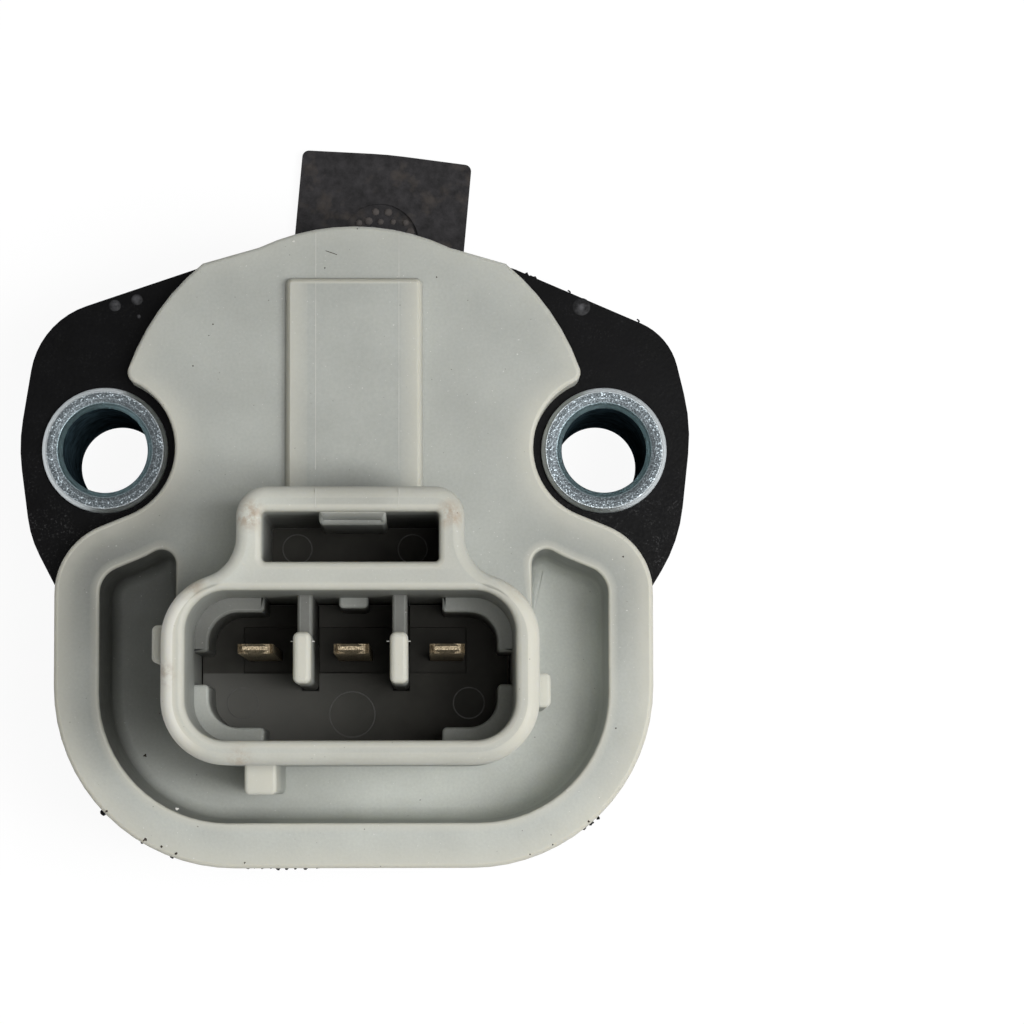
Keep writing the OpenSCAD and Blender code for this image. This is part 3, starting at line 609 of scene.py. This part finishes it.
def bore_shade(look):
    """Inside of a bushing: bluish green plating, darkened as painted shade."""
    f = Finish("bore_shade", look.bore_colour, 0.45, specular=0.0)
    f.colour(f.tint(look.bore_colour, f.span(f.noise(0.8, 4), 0.3, 0.7, 0.4, 1.8)))
    f.bump(f.noise(0.15, 3), 0.02)
    return f.material


def gasket_fibre(look):
    """Pressed fibre sheet: cloudy felted surface with paler patches."""
    f = Finish("gasket_fibre", look.gasket_colour, 0.85, specular=0.3)
    body = f.tint(look.gasket_colour, f.span(f.noise(0.9, 5, 0.7), 0.32, 0.68, 0.4, 1.5))
    f.colour(f.mix(f.span(f.noise(1.5, 3), 0.55, 0.7, 0.0, 0.5), body, (0.085, 0.072, 0.062)))
    f.bump(f.noise(0.5, 5, 0.6), 0.1)
    return f.material


def sink_painted_sheen(look):
    """Hollows of the base: a cloudy, painted sheen that fades towards their rims."""
    f = Finish("sink_painted_sheen", look.sink_colour, 0.4, specular=0.1)
    tone = f.node("Attribute", attribute_name="painted_light_tone").outputs["Fac"]
    # painted sheen: the tone and a cloud lighten the hollows
    cloud = f.maths("MULTIPLY", tone, f.span(f.noise(0.5, 3), 0.35, 0.65))
    f.colour(f.mix(cloud, look.sink_colour, (0.09, 0.09, 0.095)))
    return f.material


def terminal_tin(look):
    """Tin over brass: warm body, speckled sheared tips."""
    f = Finish("terminal_tin", look.terminal_colour, 0.62, metallic=1.0)
    f.colour(f.tint(look.terminal_colour, f.span(f.noise(0.09, 3), 0.35, 0.65, 0.35, 1.6)))
    f.roughness(f.span(f.noise(0.2, 2), 0.3, 0.7, 0.5, 0.75))
    f.bump(f.noise(0.1, 2), 0.06)
    return f.material


def plain_finish(name, colour, roughness, metallic=0.0):
    """Finish of a hidden or tiny part: slight cloud of colour and a fine grain."""
    f = Finish(name, colour, roughness, metallic)
    f.colour(f.tint(colour, f.span(f.noise(2.4, 3), 0.3, 0.7, 0.85, 1.15)))
    f.roughness(f.span(f.noise(0.4, 2), 0.3, 0.7, roughness * 0.85, min(1, roughness * 1.15)))
    f.bump(f.noise(0.4, 2), 0.01)
    return f.material


def white_rays(tree):
    """One for the rays that show the white surroundings: camera, glossy and transmission."""
    rays = tree.nodes.new("ShaderNodeLightPath")
    total = rays.outputs["Is Camera Ray"]
    for name in ("Is Glossy Ray", "Is Transmission Ray"):
        both = tree.nodes.new("ShaderNodeMath")
        both.operation = "MAXIMUM"
        tree.links.new(total, both.inputs[0])
        tree.links.new(rays.outputs[name], both.inputs[1])
        total = both.outputs[0]
    return total


def stage_finish(look):
    """Pale floor: nearly white to the camera, and still darker under the object."""
    f = Finish("studio_floor", look.floor_colour, 0.9, specular=0.1)
    glow = f.fill(f.node("Emission"), Color=(1, 1, 1, 1), Strength=1.06)
    blend = f.fill(f.node("MixShader"), n1=f.shader.outputs[0], n2=glow.outputs[0],
                   n0=f.maths("MULTIPLY", white_rays(f.tree), look.floor_glow))
    f.fill(f.tree.nodes["Material Output"], Surface=blend.outputs[0])
    return f.material


# ---- settings

def size(name, default, low, high, text):
    """Property for a length, given in millimetres."""
    return FloatProperty(name=name, description=text, default=default * MM, min=low * MM,
                         max=high * MM, precision=5, subtype="DISTANCE", unit="LENGTH")


def colour(name, default, text):
    """Property for a colour."""
    return FloatVectorProperty(name=name, description=text, default=default, min=0, max=1,
                               size=3, subtype="COLOR")


class SensorSizes(PropertyGroup):
    """Roundings and small forms of the moulded parts"""
    rim_radius: size("Rim Radius", 0.28, 0.1, 0.8, "Rounding of the cover's outer edge")
    moat_radius: size("Moat Radius", 0.2, 0.05, 0.5, "Rounding where the moat opens")
    moat_draft: size("Moat Draft", 0.2, 0.0, 0.4, "How far the moat's wall leans in at its foot")
    moat_fillet: size("Moat Fillet", 0.8, 0.1, 1.0, "Fillet between the moat's wall and floor")
    lip_radius: size("Lip Radius", 0.78, 0.2, 0.9, "Rounding of the mouth's outer edge")
    inner_radius: size("Inner Radius", 0.42, 0.05, 0.6, "Rounding of the mouth's inner edge")
    block_radius: size("Block Radius", 0.18, 0.05, 0.4, "Rounding of the blocks in the connector")
    # painted highlight: width of the light band along the strip
    band_width: size("Band Width", 1.5, 0.5, 2.5, "Width of the light band along the strip")
    # painted highlight: how far it fades inwards from the cover's edge
    halo_width: size("Halo Width", 0.9, 0.3, 2.0, "How far the cover's pale edge fades inwards")


class SensorColours(PropertyGroup):
    """Colours of the parts"""
    cover_colour: colour("Cover", (0.45, 0.465, 0.43), "Grey of the moulded cover")
    # painted highlight along the cover's lit, translucent edges
    edge_highlight_colour: colour("Cover Edge", (0.62, 0.61, 0.53), "Paler tone along the cover's edges")
    black_colour: colour("Black Plastic", (0.0022, 0.0022, 0.0025), "Moulded base")
    carrier_colour: colour("Connector Floor", (0.058, 0.056, 0.049), "Insert with the blades")
    zinc_colour: colour("Zinc", (0.068, 0.078, 0.084), "Plating of the bushings")
    # bluish green plating, darkened as painted shade
    bore_colour: colour("Bore", (0.027, 0.045, 0.056), "Plating inside the bushings")
    sink_colour: colour("Sink Mark", (0.004, 0.004, 0.0045), "Hollows of the base")
    gasket_colour: colour("Gasket", (0.029, 0.0275, 0.029), "Fibre of the gasket")
    terminal_colour: colour("Terminal", (0.29, 0.24, 0.165), "Tin over brass")


class SensorStage(PropertyGroup):
    """Floor, lamps and camera"""
    floor_colour: colour("Floor", (0.85, 0.85, 0.85), "Colour of the floor")
    floor_glow: FloatProperty(name="Floor Glow", default=0.88, min=0, max=1, subtype="FACTOR",
                              description="Share of plain white that the camera sees in the floor")
    fill_level: FloatProperty(name="Fill", default=0.1, min=0, max=2,
                              description="Strength of the even light from all round")
    key_level: FloatProperty(name="Key", default=0.385, min=0, max=10, unit="POWER",
                             description="Power of the large lamp above on the right")
    focal_length: FloatProperty(name="Focal Length", default=139.81, min=50, max=300,
                                subtype="DISTANCE_CAMERA", unit="CAMERA",
                                description="Lens of the camera, on a 36 mm sensor")


# ---- operators

class SENSOR_OT_cover(Operator):
    """Moulds the cover plate with its rounded rim and the moat"""
    bl_idname = "sensor.cover"
    bl_label = "Cover Plate"

    def execute(self, context):
        s = context.scene.sensor_sizes
        rim, moat_r = s.rim_radius / MM, s.moat_radius / MM
        draft, fillet = s.moat_draft / MM, s.moat_fillet / MM
        shell = Shell()
        # tones: painted highlight along the rim
        side = [(0, BASE_Z, 1.0), (0, COVER_Z - rim - 0.8, 0.8)]
        low, top = shell.profile(cover_outline(), [*side, *round_rows(0, COVER_Z, rim)])
        moat = moat_outline()
        # painted shade on the moat's wall, darker towards the left; painted highlight at its mouth
        shade = -0.75 * np.clip((-8 - moat[:, 0]) / 9, 0, 1) - 0.1
        foot = [(-draft - fillet * (1 - math.cos(a)), MOAT_Z + fillet * (1 - math.sin(a)),
                 shade * (1 - a / 1.6)) for a in np.linspace(0, math.pi / 2, 5)]
        moat_top, moat_floor = shell.profile(moat, [
            (moat_r + 0.5, COVER_Z, 0.0), (moat_r + LAND, COVER_Z, 0.5),
            *mouth_rows(COVER_Z, moat_r, 4, 0.8),
            (0, COVER_Z - moat_r - 0.35, shade), (-draft / 3, COVER_Z - 3.5, shade), *foot,
            (-draft - fillet - LAND, MOAT_Z, 0.0)])
        shell.cap([moat_floor])
        hole = centred(6.5, -8.9, -4.7, 0.4)
        hole_top, hole_low = shell.profile(hole, [(0, COVER_Z, 0.0), (0, BASE_Z, 0.0)])
        # painted highlight that fades inwards from the cover's edge
        shell.face([top, moat_top, hole_top], 0.6, 0.75, s.halo_width / MM)
        under, bowl_top = shell.profile(bowl_outline(), [(0, MOAT_UNDER_Z, 0), (0, BASE_Z, 0)])
        shell.cap([under], up=False)
        shell.cap([low, bowl_top, hole_low], up=False)
        fitted(shell, "cover_plate", replaces=["cover_housing"])
        return {"FINISHED"}


class SENSOR_OT_connector(Operator):
    """Moulds the shroud and the latch block, with the soft lip of the mouth"""
    bl_idname = "sensor.connector"
    bl_label = "Connector Shroud"

    def execute(self, context):
        s = context.scene.sensor_sizes
        lip, inner = s.lip_radius / MM, s.inner_radius / MM
        shell = Shell()
        outline = connector_outline()
        foot_z = np.where(outline[:, 1] > SHROUD_TOP - 0.15, LATCH_UNDER_Z, MOAT_Z - ROOT)
        wall = [ring(outline, 0, foot_z), ring(outline, 0, COVER_Z + 0.5)]
        lips = round_rows(0, MOUTH_Z, lip, 5)
        # painted highlight on the lip, stronger on its flanks, most on the left and least on the
        # right
        flank = np.clip((abs(outline[:, 0]) - 9.5) / 2.5, 0, 1)
        flank *= np.where(outline[:, 0] < 0, 1.6, 0.6)
        low, top = shell.band(wall + [ring(outline, d, z) for d, z, _ in lips],
                              [0.0, 0.0, 0.1, *(k * (0.5 + flank) for k in lips[1:, 2])])
        # tones: painted highlight round the mouth's inner edge, painted shade deeper in the plug
        # and the window
        lead = [(inner + LAND, MOUTH_Z, 0.5), *mouth_rows(MOUTH_Z, inner, 3, 0.7),
                (0, MOUTH_Z - inner - LAND, 0.3), (0, MOUTH_Z - 2.0, 0.0)]
        plug = centred(PLUG_HALF_W, PLUG_LOW, PLUG_TOP, PLUG_R)
        plug_top, plug_low = shell.profile(plug, [*lead, (0, BLOCK_Z + 2, -0.15),
                                                  (0, BLOCK_Z, -0.4), (0, MOAT_Z - ROOT, -0.6)])
        window = centred(WINDOW_HALF_W, WINDOW_LOW, WINDOW_TOP, 0.3)
        window_top, window_low = shell.profile(window, [*lead, (0, MOUTH_Z - 4.5, -0.7),
                                                        (0, WINDOW_Z, -1.0)])
        shell.cap([top, plug_top, window_top])
        shell.cap([window_low])
        shell.cap([low, plug_low], up=False)
        fitted(shell, "connector_shroud")
        return {"FINISHED"}


class SENSOR_OT_connector_inside(Operator):
    """Adds the corner blocks, key, catch, divider posts and webs"""
    bl_idname = "sensor.connector_inside"
    bl_label = "Connector Blocks"

    def execute(self, context):
        r = context.scene.sensor_sizes.block_radius / MM
        low = FLOOR_Z - ROOT
        shell = Shell()
        # negative tones paint shade on the blocks, the key and the webs, and at every foot
        for turn_x in (1, -1):
            for up, gap in ((True, -14.2), (False, -16.4)):
                inner_y, out_y = (-11.48, -10.1) if up else (-19.34, -20.75)
                corners = [(6.08, inner_y, 0.3), (9.86, inner_y, 2.0), (9.86, gap, 0.3),
                           (11.3, gap, 0.05), (11.3, out_y, 3.2), (6.08, out_y, 0.05)]
                corners = [(turn_x * x, y, c) for x, y, c in corners]
                if (turn_x < 0) == up:
                    corners = corners[::-1]
                prism(shell, rounded(corners), low, BLOCK_Z, r,
                      tone=-0.9 if up and turn_x < 0 else -0.15, dark=-1.0)
        prism(shell, centred(1.0, -11.2, -10.1, 0.3), low, BLOCK_Z, r, tone=-0.5, dark=-1.1)
        for x in (-DIVIDER_X, DIVIDER_X):
            prism(shell, centred(0.52, -13.6, -10.1, 0.35, x), low, WEB_Z, r, tone=-0.95,
                  dark=-1.25)
        fitted(shell, "connector_blocks")
        posts = Shell()
        # the posts' pale tops are a painted highlight, their sides painted shade
        for x in (-DIVIDER_X, DIVIDER_X):
            prism(posts, centred(0.6, -16.6, -13.18, 0.42, x), low, POST_Z, 0.32, tone=0.9,
                  dark=-1.2)
        fitted(posts, "divider_posts")
        catch = Shell()
        top = rounded([(-2.1, -6.1, 0.35), (2.35, -6.1, 0.35), (2.35, -5.0, 0.1),
                       (-2.1, -5.0, 0.1)])
        # painted shade on the catch, lighter towards the back of its upper edge
        slope = -5.2 - top[:, 1]
        catch.solid(top, [(0, 20, -1.0), (0, 25, -0.9), (0, 29.2 - 0.9 * slope, -0.7),
                          *((d, z - 0.9 * slope, 0.3 - 0.95 * slope)
                            for d, z, _ in round_rows(0, 30.2, 0.3, 3))])
        fitted(catch, "latch_catch")
        return {"FINISHED"}


class SENSOR_OT_strip(Operator):
    """Raises the strip between the crown and the latch block, and the shroud's ribs"""
    bl_idname = "sensor.strip"
    bl_label = "Strip and Ribs"

    def execute(self, context):
        band = context.scene.sensor_sizes.band_width / MM
        shell = Shell()
        outline = centred(STRIP_HALF_W, STRIP_LOW, STRIP_TOP, 0.5)
        # tones: painted highlight in a band along the strip's edges
        sides = [(0, COVER_Z - 0.4, 0.6), (0, COVER_Z, 0.6), (-0.12, STRIP_Z - 0.34, 0.9),
                 (-0.2, STRIP_Z - 0.14, 1.0), (-0.36, STRIP_Z, 0.9), (-0.42, STRIP_Z, 0.6)]
        inner = [centred(STRIP_HALF_W - d, STRIP_LOW + d, STRIP_TOP - 0.5, 0.1)
                 for d in (band, band + 0.08)]
        first, last = shell.band(
            [ring(outline, d, z) for d, z, _ in sides] + [ring(o, 0, STRIP_Z) for o in inner],
            [r[2] for r in sides] + [0.15, 0.0])
        shell.cap([first], up=False)
        shell.cap([last])
        fitted(shell, "raised_strip")
        ribs = Shell()
        for x, half_w, low, top, high in ((-12.575, 0.575, -15.2, -12.7, 28.8),
                                          (12.655, 0.655, -18.1, -15.8, RIB_Z),
                                          (-6.07, 1.07, -23.89, -21.5, RIB_Z)):
            # tone: painted light on the ribs' tops
            prism(ribs, centred(half_w, low, top, 0.38, x), MOAT_Z - ROOT, high, 0.22, tone=0.8)
        fitted(ribs, "shroud_ribs")
        return {"FINISHED"}


class SENSOR_OT_mould_marks(Operator):
    """Adds the witness lines, ejector marks, flash and specks of the moulded parts, and a dark
    sheet of painted shade on the window's floor
    """
    bl_idname = "sensor.mould_marks"
    bl_label = "Mould Marks"

    def execute(self, context):
        lines = Shell()
        for px in (315.2, 398.7):
            for z, start, stop in ((COVER_Z, 231, 276), (STRIP_Z, 280, 470), (MOUTH_Z, 488, 507)):
                line(lines, (px, start), (px, stop), z, 0.06, 0.012)
        for px in range(319, 396, 8):
            line(lines, (px, 262), (px + 4, 262), COVER_Z, 0.03, 0.008)
        for px in (290.5, 311.5, 386.5, 407.5):
            chip(lines, bar(spot(px, 641.5, 29.5), spot(px + 3, 641.5, 29.5), 0.07), 29.4, 0.05)
        fitted(lines, "witness_lines", "witness_flash")
        specks = Shell()
        line(specks, (324.9, 249.1), (336.6, 253.2), COVER_Z, 0.07, 0.01)
        flecks(specks, DARK_SPECKS, 0, COVER_Z, 0.02)
        fitted(specks, "dark_specks", "dark_speck")
        pale = Shell()
        flecks(pale, PALE_FLAKES, 40, COVER_Z, 0.05)
        fitted(pale, "pale_flakes", "pale_flash")
        # dark sheet in the carrier's finish over the window's grey floor: painted shade of the
        # deep window
        floor = Shell()
        chip(floor, centred(WINDOW_HALF_W - 0.02, WINDOW_LOW + 0.02, WINDOW_TOP - 0.02, 0.28),
             WINDOW_Z, 0.05, 0.0)
        fitted(floor, "window_floor_shade", "carrier_plastic")
        rings = Shell()
        for x, y, r, z in ((-7.96, -17.5, 1.09, FLOOR_Z), (7.96, -17.5, 1.09, FLOOR_Z),
                           (-0.25, -18.3, 1.6, FLOOR_Z),
                           *((*spot(px, 549.9, WINDOW_Z), 1.02, WINDOW_Z + 0.05)
                             for px in (297.4, 412.4))):
            rim = circle((x, y), r, 40)
            rows = ((0.05, -0.04), (0.03, 0.03), (-0.03, 0.03), (-0.05, -0.04))
            rings.band([ring(rim, d, z + h) for d, h in rows], loop=True)
        fitted(rings, "ejector_rings", "carrier_mark")
        return {"FINISHED"}


class SENSOR_OT_base_marks(Operator):
    """Adds the sink marks and the flash whiskers of the black base, and the gasket's pebbles"""
    bl_idname = "sensor.base_marks"
    bl_label = "Base Marks"

    def execute(self, context):
        sinks = Shell()
        for px, py, r in ((114, 305, 0.42), (136, 299, 0.4), (138, 316, 0.15), (582, 306, 0.62)):
            # the dome's tone sets the strength of the painted sheen
            dome(sinks, spot(px, py, BASE_Z), BASE_Z, r, 0.02, 32, 0.7)
        fitted(sinks, "sink_marks", "sink_painted_sheen")
        flash = Shell()
        for px, py, turn in ((570, 293, 70), (639, 322, 60)):
            x, y = spot(px, py, BASE_Z)
            reach = np.array([math.cos(math.radians(turn)), math.sin(math.radians(turn))])
            root, bend = np.array([x, y]) - 0.25 * reach, np.array([x, y]) + 0.2 * reach
            chip(flash, bar(root, bend, 0.12), BASE_Z - 0.3, 0.12)
            chip(flash, bar(bend, bend + (-0.18, 0.1), 0.1), BASE_Z - 0.3, 0.1)
        flecks(flash, ((518, 272, 0.3), (527, 275, 0.24), (533, 278, 0.26), (547, 285, 0.2),
                       (164, 281, 0.12)), 80, BASE_Z - 0.25, 0.2, 0.05)
        flecks(flash, SHREDS, 120, SHRED_Z, 0.1, 0.1)
        fitted(flash, "flash_whiskers", "black_plastic")
        pebbles = Shell()
        spread = np.random.default_rng(5)
        for row in range(-3, 5):
            for column in range(-3, 4):
                x = RECESS_X + 0.86 * column + 0.43 * (row % 2) + spread.uniform(-0.1, 0.1)
                y = RECESS_Y + 0.76 * row + spread.uniform(-0.1, 0.1)
                if math.hypot(x - RECESS_X, y - RECESS_Y) < RECESS_R:
                    dome(pebbles, (x, y), RECESS_Z, spread.uniform(0.2, 0.32), 0.14, 10)
        fitted(pebbles, "recess_pebbles", "pale_fibre")
        return {"FINISHED"}


class SENSOR_OT_bushings(Operator):
    """Turns the two plated steel bushings"""
    bl_idname = "sensor.bushings"
    bl_label = "Bushings"

    def execute(self, context):
        for name, x in (("left", -PITCH / 2), ("right", PITCH / 2)):
            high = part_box("bushing_" + name)[1].z / MM
            rows = [(BORE_R, 0.3), (3.25, 0), (4.07, 0), (BUSHING_R, 0.3),
                    (BUSHING_R, high - 0.34), (4.36, high - 0.28), (4.16, high - 0.05),
                    (4.08, high), (4.0, high), (3.36, high), (3.28, high - 0.03),
                    (3.0, high - 0.38), (BORE_R, high - 0.46), (BORE_R, high - 0.6)]
            shell = Shell()
            outline = circle((x, 0), 0.0)
            shell.band([ring(outline, r, z) for r, z in rows], loop=True)
            obj = fitted(shell, "steel_bushing_" + name, "zinc_plate",
                         ["bushing_" + name], 25)
            # the bore gets the plating darkened as painted shade
            obj.data.materials.append(finish("bore_shade"))
            for face in obj.data.polygons[-2 * len(outline):]:  # the bore's two bands
                face.material_index = 1
        return {"FINISHED"}


def smooth_walls():
    """Geometry nodes that weld a faceted part and shade its shallow corners smooth."""
    tree = bpy.data.node_groups.new("smooth_walls", "GeometryNodeTree")
    for way in ("INPUT", "OUTPUT"):
        tree.interface.new_socket("Geometry", in_out=way, socket_type="NodeSocketGeometry")

    def step(kind, before, **inputs):
        made = tree.nodes.new("GeometryNode" + kind)
        tree.links.new(before.outputs[0], made.inputs[0])
        for name, value in inputs.items():
            made.inputs[name.replace("_", " ")].default_value = value
        return made

    start, end = (tree.nodes.new(kind) for kind in ("NodeGroupInput", "NodeGroupOutput"))
    plain = step("RemoveAttribute", start, Name="custom_normal")
    weld = step("MergeByDistance", plain, Distance=1e-7)
    soft = step("SetShadeSmooth", weld, Shade_Smooth=True)
    crisp = step("SetShadeSmooth", soft, Shade_Smooth=False)
    crisp.domain = "EDGE"
    steep = tree.nodes.new("FunctionNodeCompare")
    steep.inputs["B"].default_value = math.radians(STEEP_A)
    tree.links.new(tree.nodes.new("GeometryNodeInputMeshEdgeAngle").outputs[0], steep.inputs["A"])
    tree.links.new(steep.outputs[0], crisp.inputs["Selection"])
    tree.links.new(crisp.outputs[0], end.inputs[0])
    return tree


class SENSOR_OT_frame_finishes(Operator):
    """Gives every part that keeps its CAD shape its own finish"""
    bl_idname = "sensor.frame_finishes"
    bl_label = "Frame Finishes"

    def execute(self, context):
        tree = smooth_walls()
        for node, key in NODE_FINISHES.items():
            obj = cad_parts[node]
            obj.modifiers.new("smooth_walls", "NODES").node_group = tree
            obj.data.materials.clear()
            obj.data.materials.append(finish(key))
        return {"FINISHED"}


class SENSOR_OT_stage(Operator):
    """Sets the floor, the lamps and the camera"""
    bl_idname = "sensor.stage"
    bl_label = "Studio"

    def execute(self, context):
        scene = context.scene
        s = scene.sensor_stage
        shell = Shell()
        shell.solid(centred(900, -900, 900, 200), [(0, -2.0, 0), (0, -0.05, 0)])
        shell.piece("studio_floor", stage_finish(s))
        world = bpy.data.worlds.new("studio_air")
        world.use_nodes = True
        tree = world.node_tree
        air = tree.nodes["Background"]
        air.inputs["Color"].default_value = (1, 1, 1, 1)
        level = tree.nodes.new("ShaderNodeMapRange")
        level.inputs["To Min"].default_value = s.fill_level
        tree.links.new(white_rays(tree), level.inputs["Value"])
        tree.links.new(level.outputs[0], air.inputs["Strength"])
        scene.world = world
        for name, place, across, share in LAMPS:
            lamp = bpy.data.lights.new(name, "AREA")
            lamp.energy, lamp.size = s.key_level * share, across * MM
            obj = bpy.data.objects.new(name, lamp)
            obj.location = Vector(place) * MM
            aim = Vector(LAMP_AIM) * MM - obj.location
            obj.rotation_euler = aim.to_track_quat("-Z", "Y").to_euler()
            scene.collection.objects.link(obj)
        camera = bpy.data.cameras.new("camera")
        camera.sensor_width, camera.lens = 36, s.focal_length
        camera.clip_start, camera.clip_end = 0.01, 10
        obj = bpy.data.objects.new("camera", camera)
        scene.collection.objects.link(obj)
        obj.rotation_mode = "QUATERNION"
        obj.location = Vector(CAMERA_PLACE) * MM
        turn = Vector(CAMERA_TURN)
        obj.rotation_quaternion = Matrix.Rotation(turn.length, 4, turn).to_quaternion()
        scene.camera = obj
        scene.view_settings.view_transform = "Standard"
        return {"FINISHED"}


# Shreds of black flash under the cover's lower edge: place in the picture, radius in mm
SHREDS = (
    (242, 865.5, 0.17), (249, 866, 0.2), (256, 866, 0.15), (264, 865.5, 0.2), (271, 866, 0.17),
    (279, 866.5, 0.2), (287, 866, 0.2), (296, 866.5, 0.15), (306, 866, 0.2), (318, 866, 0.15),
    (173, 856, 0.15), (144, 841, 0.14), (104.5, 812, 0.2), (583, 828, 0.15), (590, 823, 0.2),
    (597, 818, 0.15))

# Specks and flakes on the cover, in the same way, with the height of one that lies lower
DARK_SPECKS = (
    (357, 226.8, 0.06), (324.2, 266.6, 0.07), (289, 253.5, 0.05), (436.6, 275.9, 0.08),
    (212, 323.5, 0.07), (208, 335, 0.06), (192.4, 365.5, 0.07), (623, 557.4, 0.08),
    (529.3, 854.3, 0.07), (615.4, 728.9, 0.07), (551.8, 844.5, 0.07), (146.4, 755.3, 0.16, MOAT_Z),
    (108, 810.5, 0.12), (146.2, 838.8, 0.14), (162.8, 845.8, 0.1), (177, 852.6, 0.13),
    (245.5, 861.8, 0.09), (587.6, 821.5, 0.1))
PALE_FLAKES = ((292.8, 239.8, 0.09), (178, 808.4, 0.12), (167.8, 845, 0.08),
               (598.4, 798, 0.07), (566.5, 791, 0.1))

# Lamps: name, place and width in millimetres, share of the key level
LAMP_AIM = (0, -8, 14)
LAMPS = (("key_lamp", (122, -30, 320), 110, 1.0), ("side_lamp", (200, -43, 274), 110, 0.89),
         ("top_lamp", (50, -37, 339), 90, 0.48), ("near_lamp", (-56, -163, 300), 110, 0.14))

# Camera: place in millimetres, and its turn as an axis whose length is the angle in radians
CAMERA_PLACE = (5.434, -23.166, 291.96)
CAMERA_TURN = (0.068146, -0.019862, -0.00123)

# Finish of each part that keeps its CAD shape
NODE_FINISHES = {
    "base_housing": "black_plastic", "terminal_carrier": "carrier_plastic",
    "terminal_left": "terminal_tin", "terminal_middle": "terminal_tin",
    "terminal_right": "terminal_tin", "resistor_substrate": "plate_laminate",
    "resistive_track": "carbon_ink", "collector_track": "carbon_ink",
    "conductor_pads": "silver_ink", "solder_left": "solder", "solder_middle": "solder",
    "solder_right": "solder", "rotor": "rotor_plastic", "wiper": "brush_metal",
    "return_spring": "spring_steel", "wave_washer": "spring_steel",
    "rotor_seal": "seal_rubber", "mounting_gasket": "gasket_fibre",
    "housing_seal": "seal_rubber"}

# Plain finishes: colour, roughness and, where it is a metal, how metallic
PLAIN = {
    "plate_laminate": ((0.55, 0.5, 0.38), 0.5), "carbon_ink": ((0.025, 0.024, 0.024), 0.45),
    "silver_ink": ((0.55, 0.55, 0.53), 0.4, 0.8), "solder": ((0.6, 0.6, 0.62), 0.25, 1.0),
    "rotor_plastic": ((0.05, 0.05, 0.048), 0.45), "brush_metal": ((0.7, 0.5, 0.25), 0.3, 1.0),
    "spring_steel": ((0.5, 0.5, 0.5), 0.3, 1.0), "seal_rubber": ((0.025, 0.025, 0.026), 0.75),
    "dark_speck": ((0.03, 0.022, 0.016), 0.8), "pale_flash": ((0.72, 0.71, 0.66), 0.5),
    "pale_fibre": ((0.085, 0.075, 0.07), 0.85),
    "carrier_mark": ((0.07, 0.068, 0.06), 0.5), "witness_flash": ((0.6, 0.6, 0.56), 0.5)}


MAKERS = {maker.__name__: maker for maker in (
    cover_plastic, black_plastic, carrier_plastic, zinc_plate, bore_shade, sink_painted_sheen,
    terminal_tin, gasket_fibre)}


def finish(name):
    """The material of that name, made the first time that it is asked for."""
    made = bpy.data.materials.get(name + "_finish")
    if made:
        return made
    if name in PLAIN:
        return plain_finish(name, *PLAIN[name])
    return MAKERS[name](bpy.context.scene.sensor_colours)


class SENSOR_PT_panel(Panel):
    """Steps that build the sensor, in order"""
    bl_idname = "SENSOR_PT_panel"
    bl_label = "Throttle Position Sensor"
    bl_space_type = "VIEW_3D"
    bl_region_type = "UI"
    bl_category = "Sensor"

    def draw(self, context):
        for group in (context.scene.sensor_sizes, context.scene.sensor_colours,
                      context.scene.sensor_stage):
            box = self.layout.box()
            for key in group.__annotations__:
                box.prop(group, key)
        for step in STEPS:
            self.layout.operator(step.bl_idname)


GROUPS = {"sensor_sizes": SensorSizes, "sensor_colours": SensorColours,
          "sensor_stage": SensorStage}
STEPS = (SENSOR_OT_cover, SENSOR_OT_connector, SENSOR_OT_connector_inside, SENSOR_OT_strip,
         SENSOR_OT_mould_marks, SENSOR_OT_base_marks, SENSOR_OT_bushings,
         SENSOR_OT_frame_finishes, SENSOR_OT_stage)


def register():
    for cls in (*GROUPS.values(), *STEPS, SENSOR_PT_panel):
        bpy.utils.register_class(cls)
    for name, cls in GROUPS.items():
        setattr(bpy.types.Scene, name, PointerProperty(type=cls))


def unregister():
    for name in GROUPS:
        delattr(bpy.types.Scene, name)
    for cls in (SENSOR_PT_panel, *STEPS[::-1], *GROUPS.values()):
        bpy.utils.unregister_class(cls)


def main():
    register()
    for step in STEPS:
        getattr(bpy.ops.sensor, step.bl_idname.split(".")[1])()


if __name__ == "__main__":
    main()
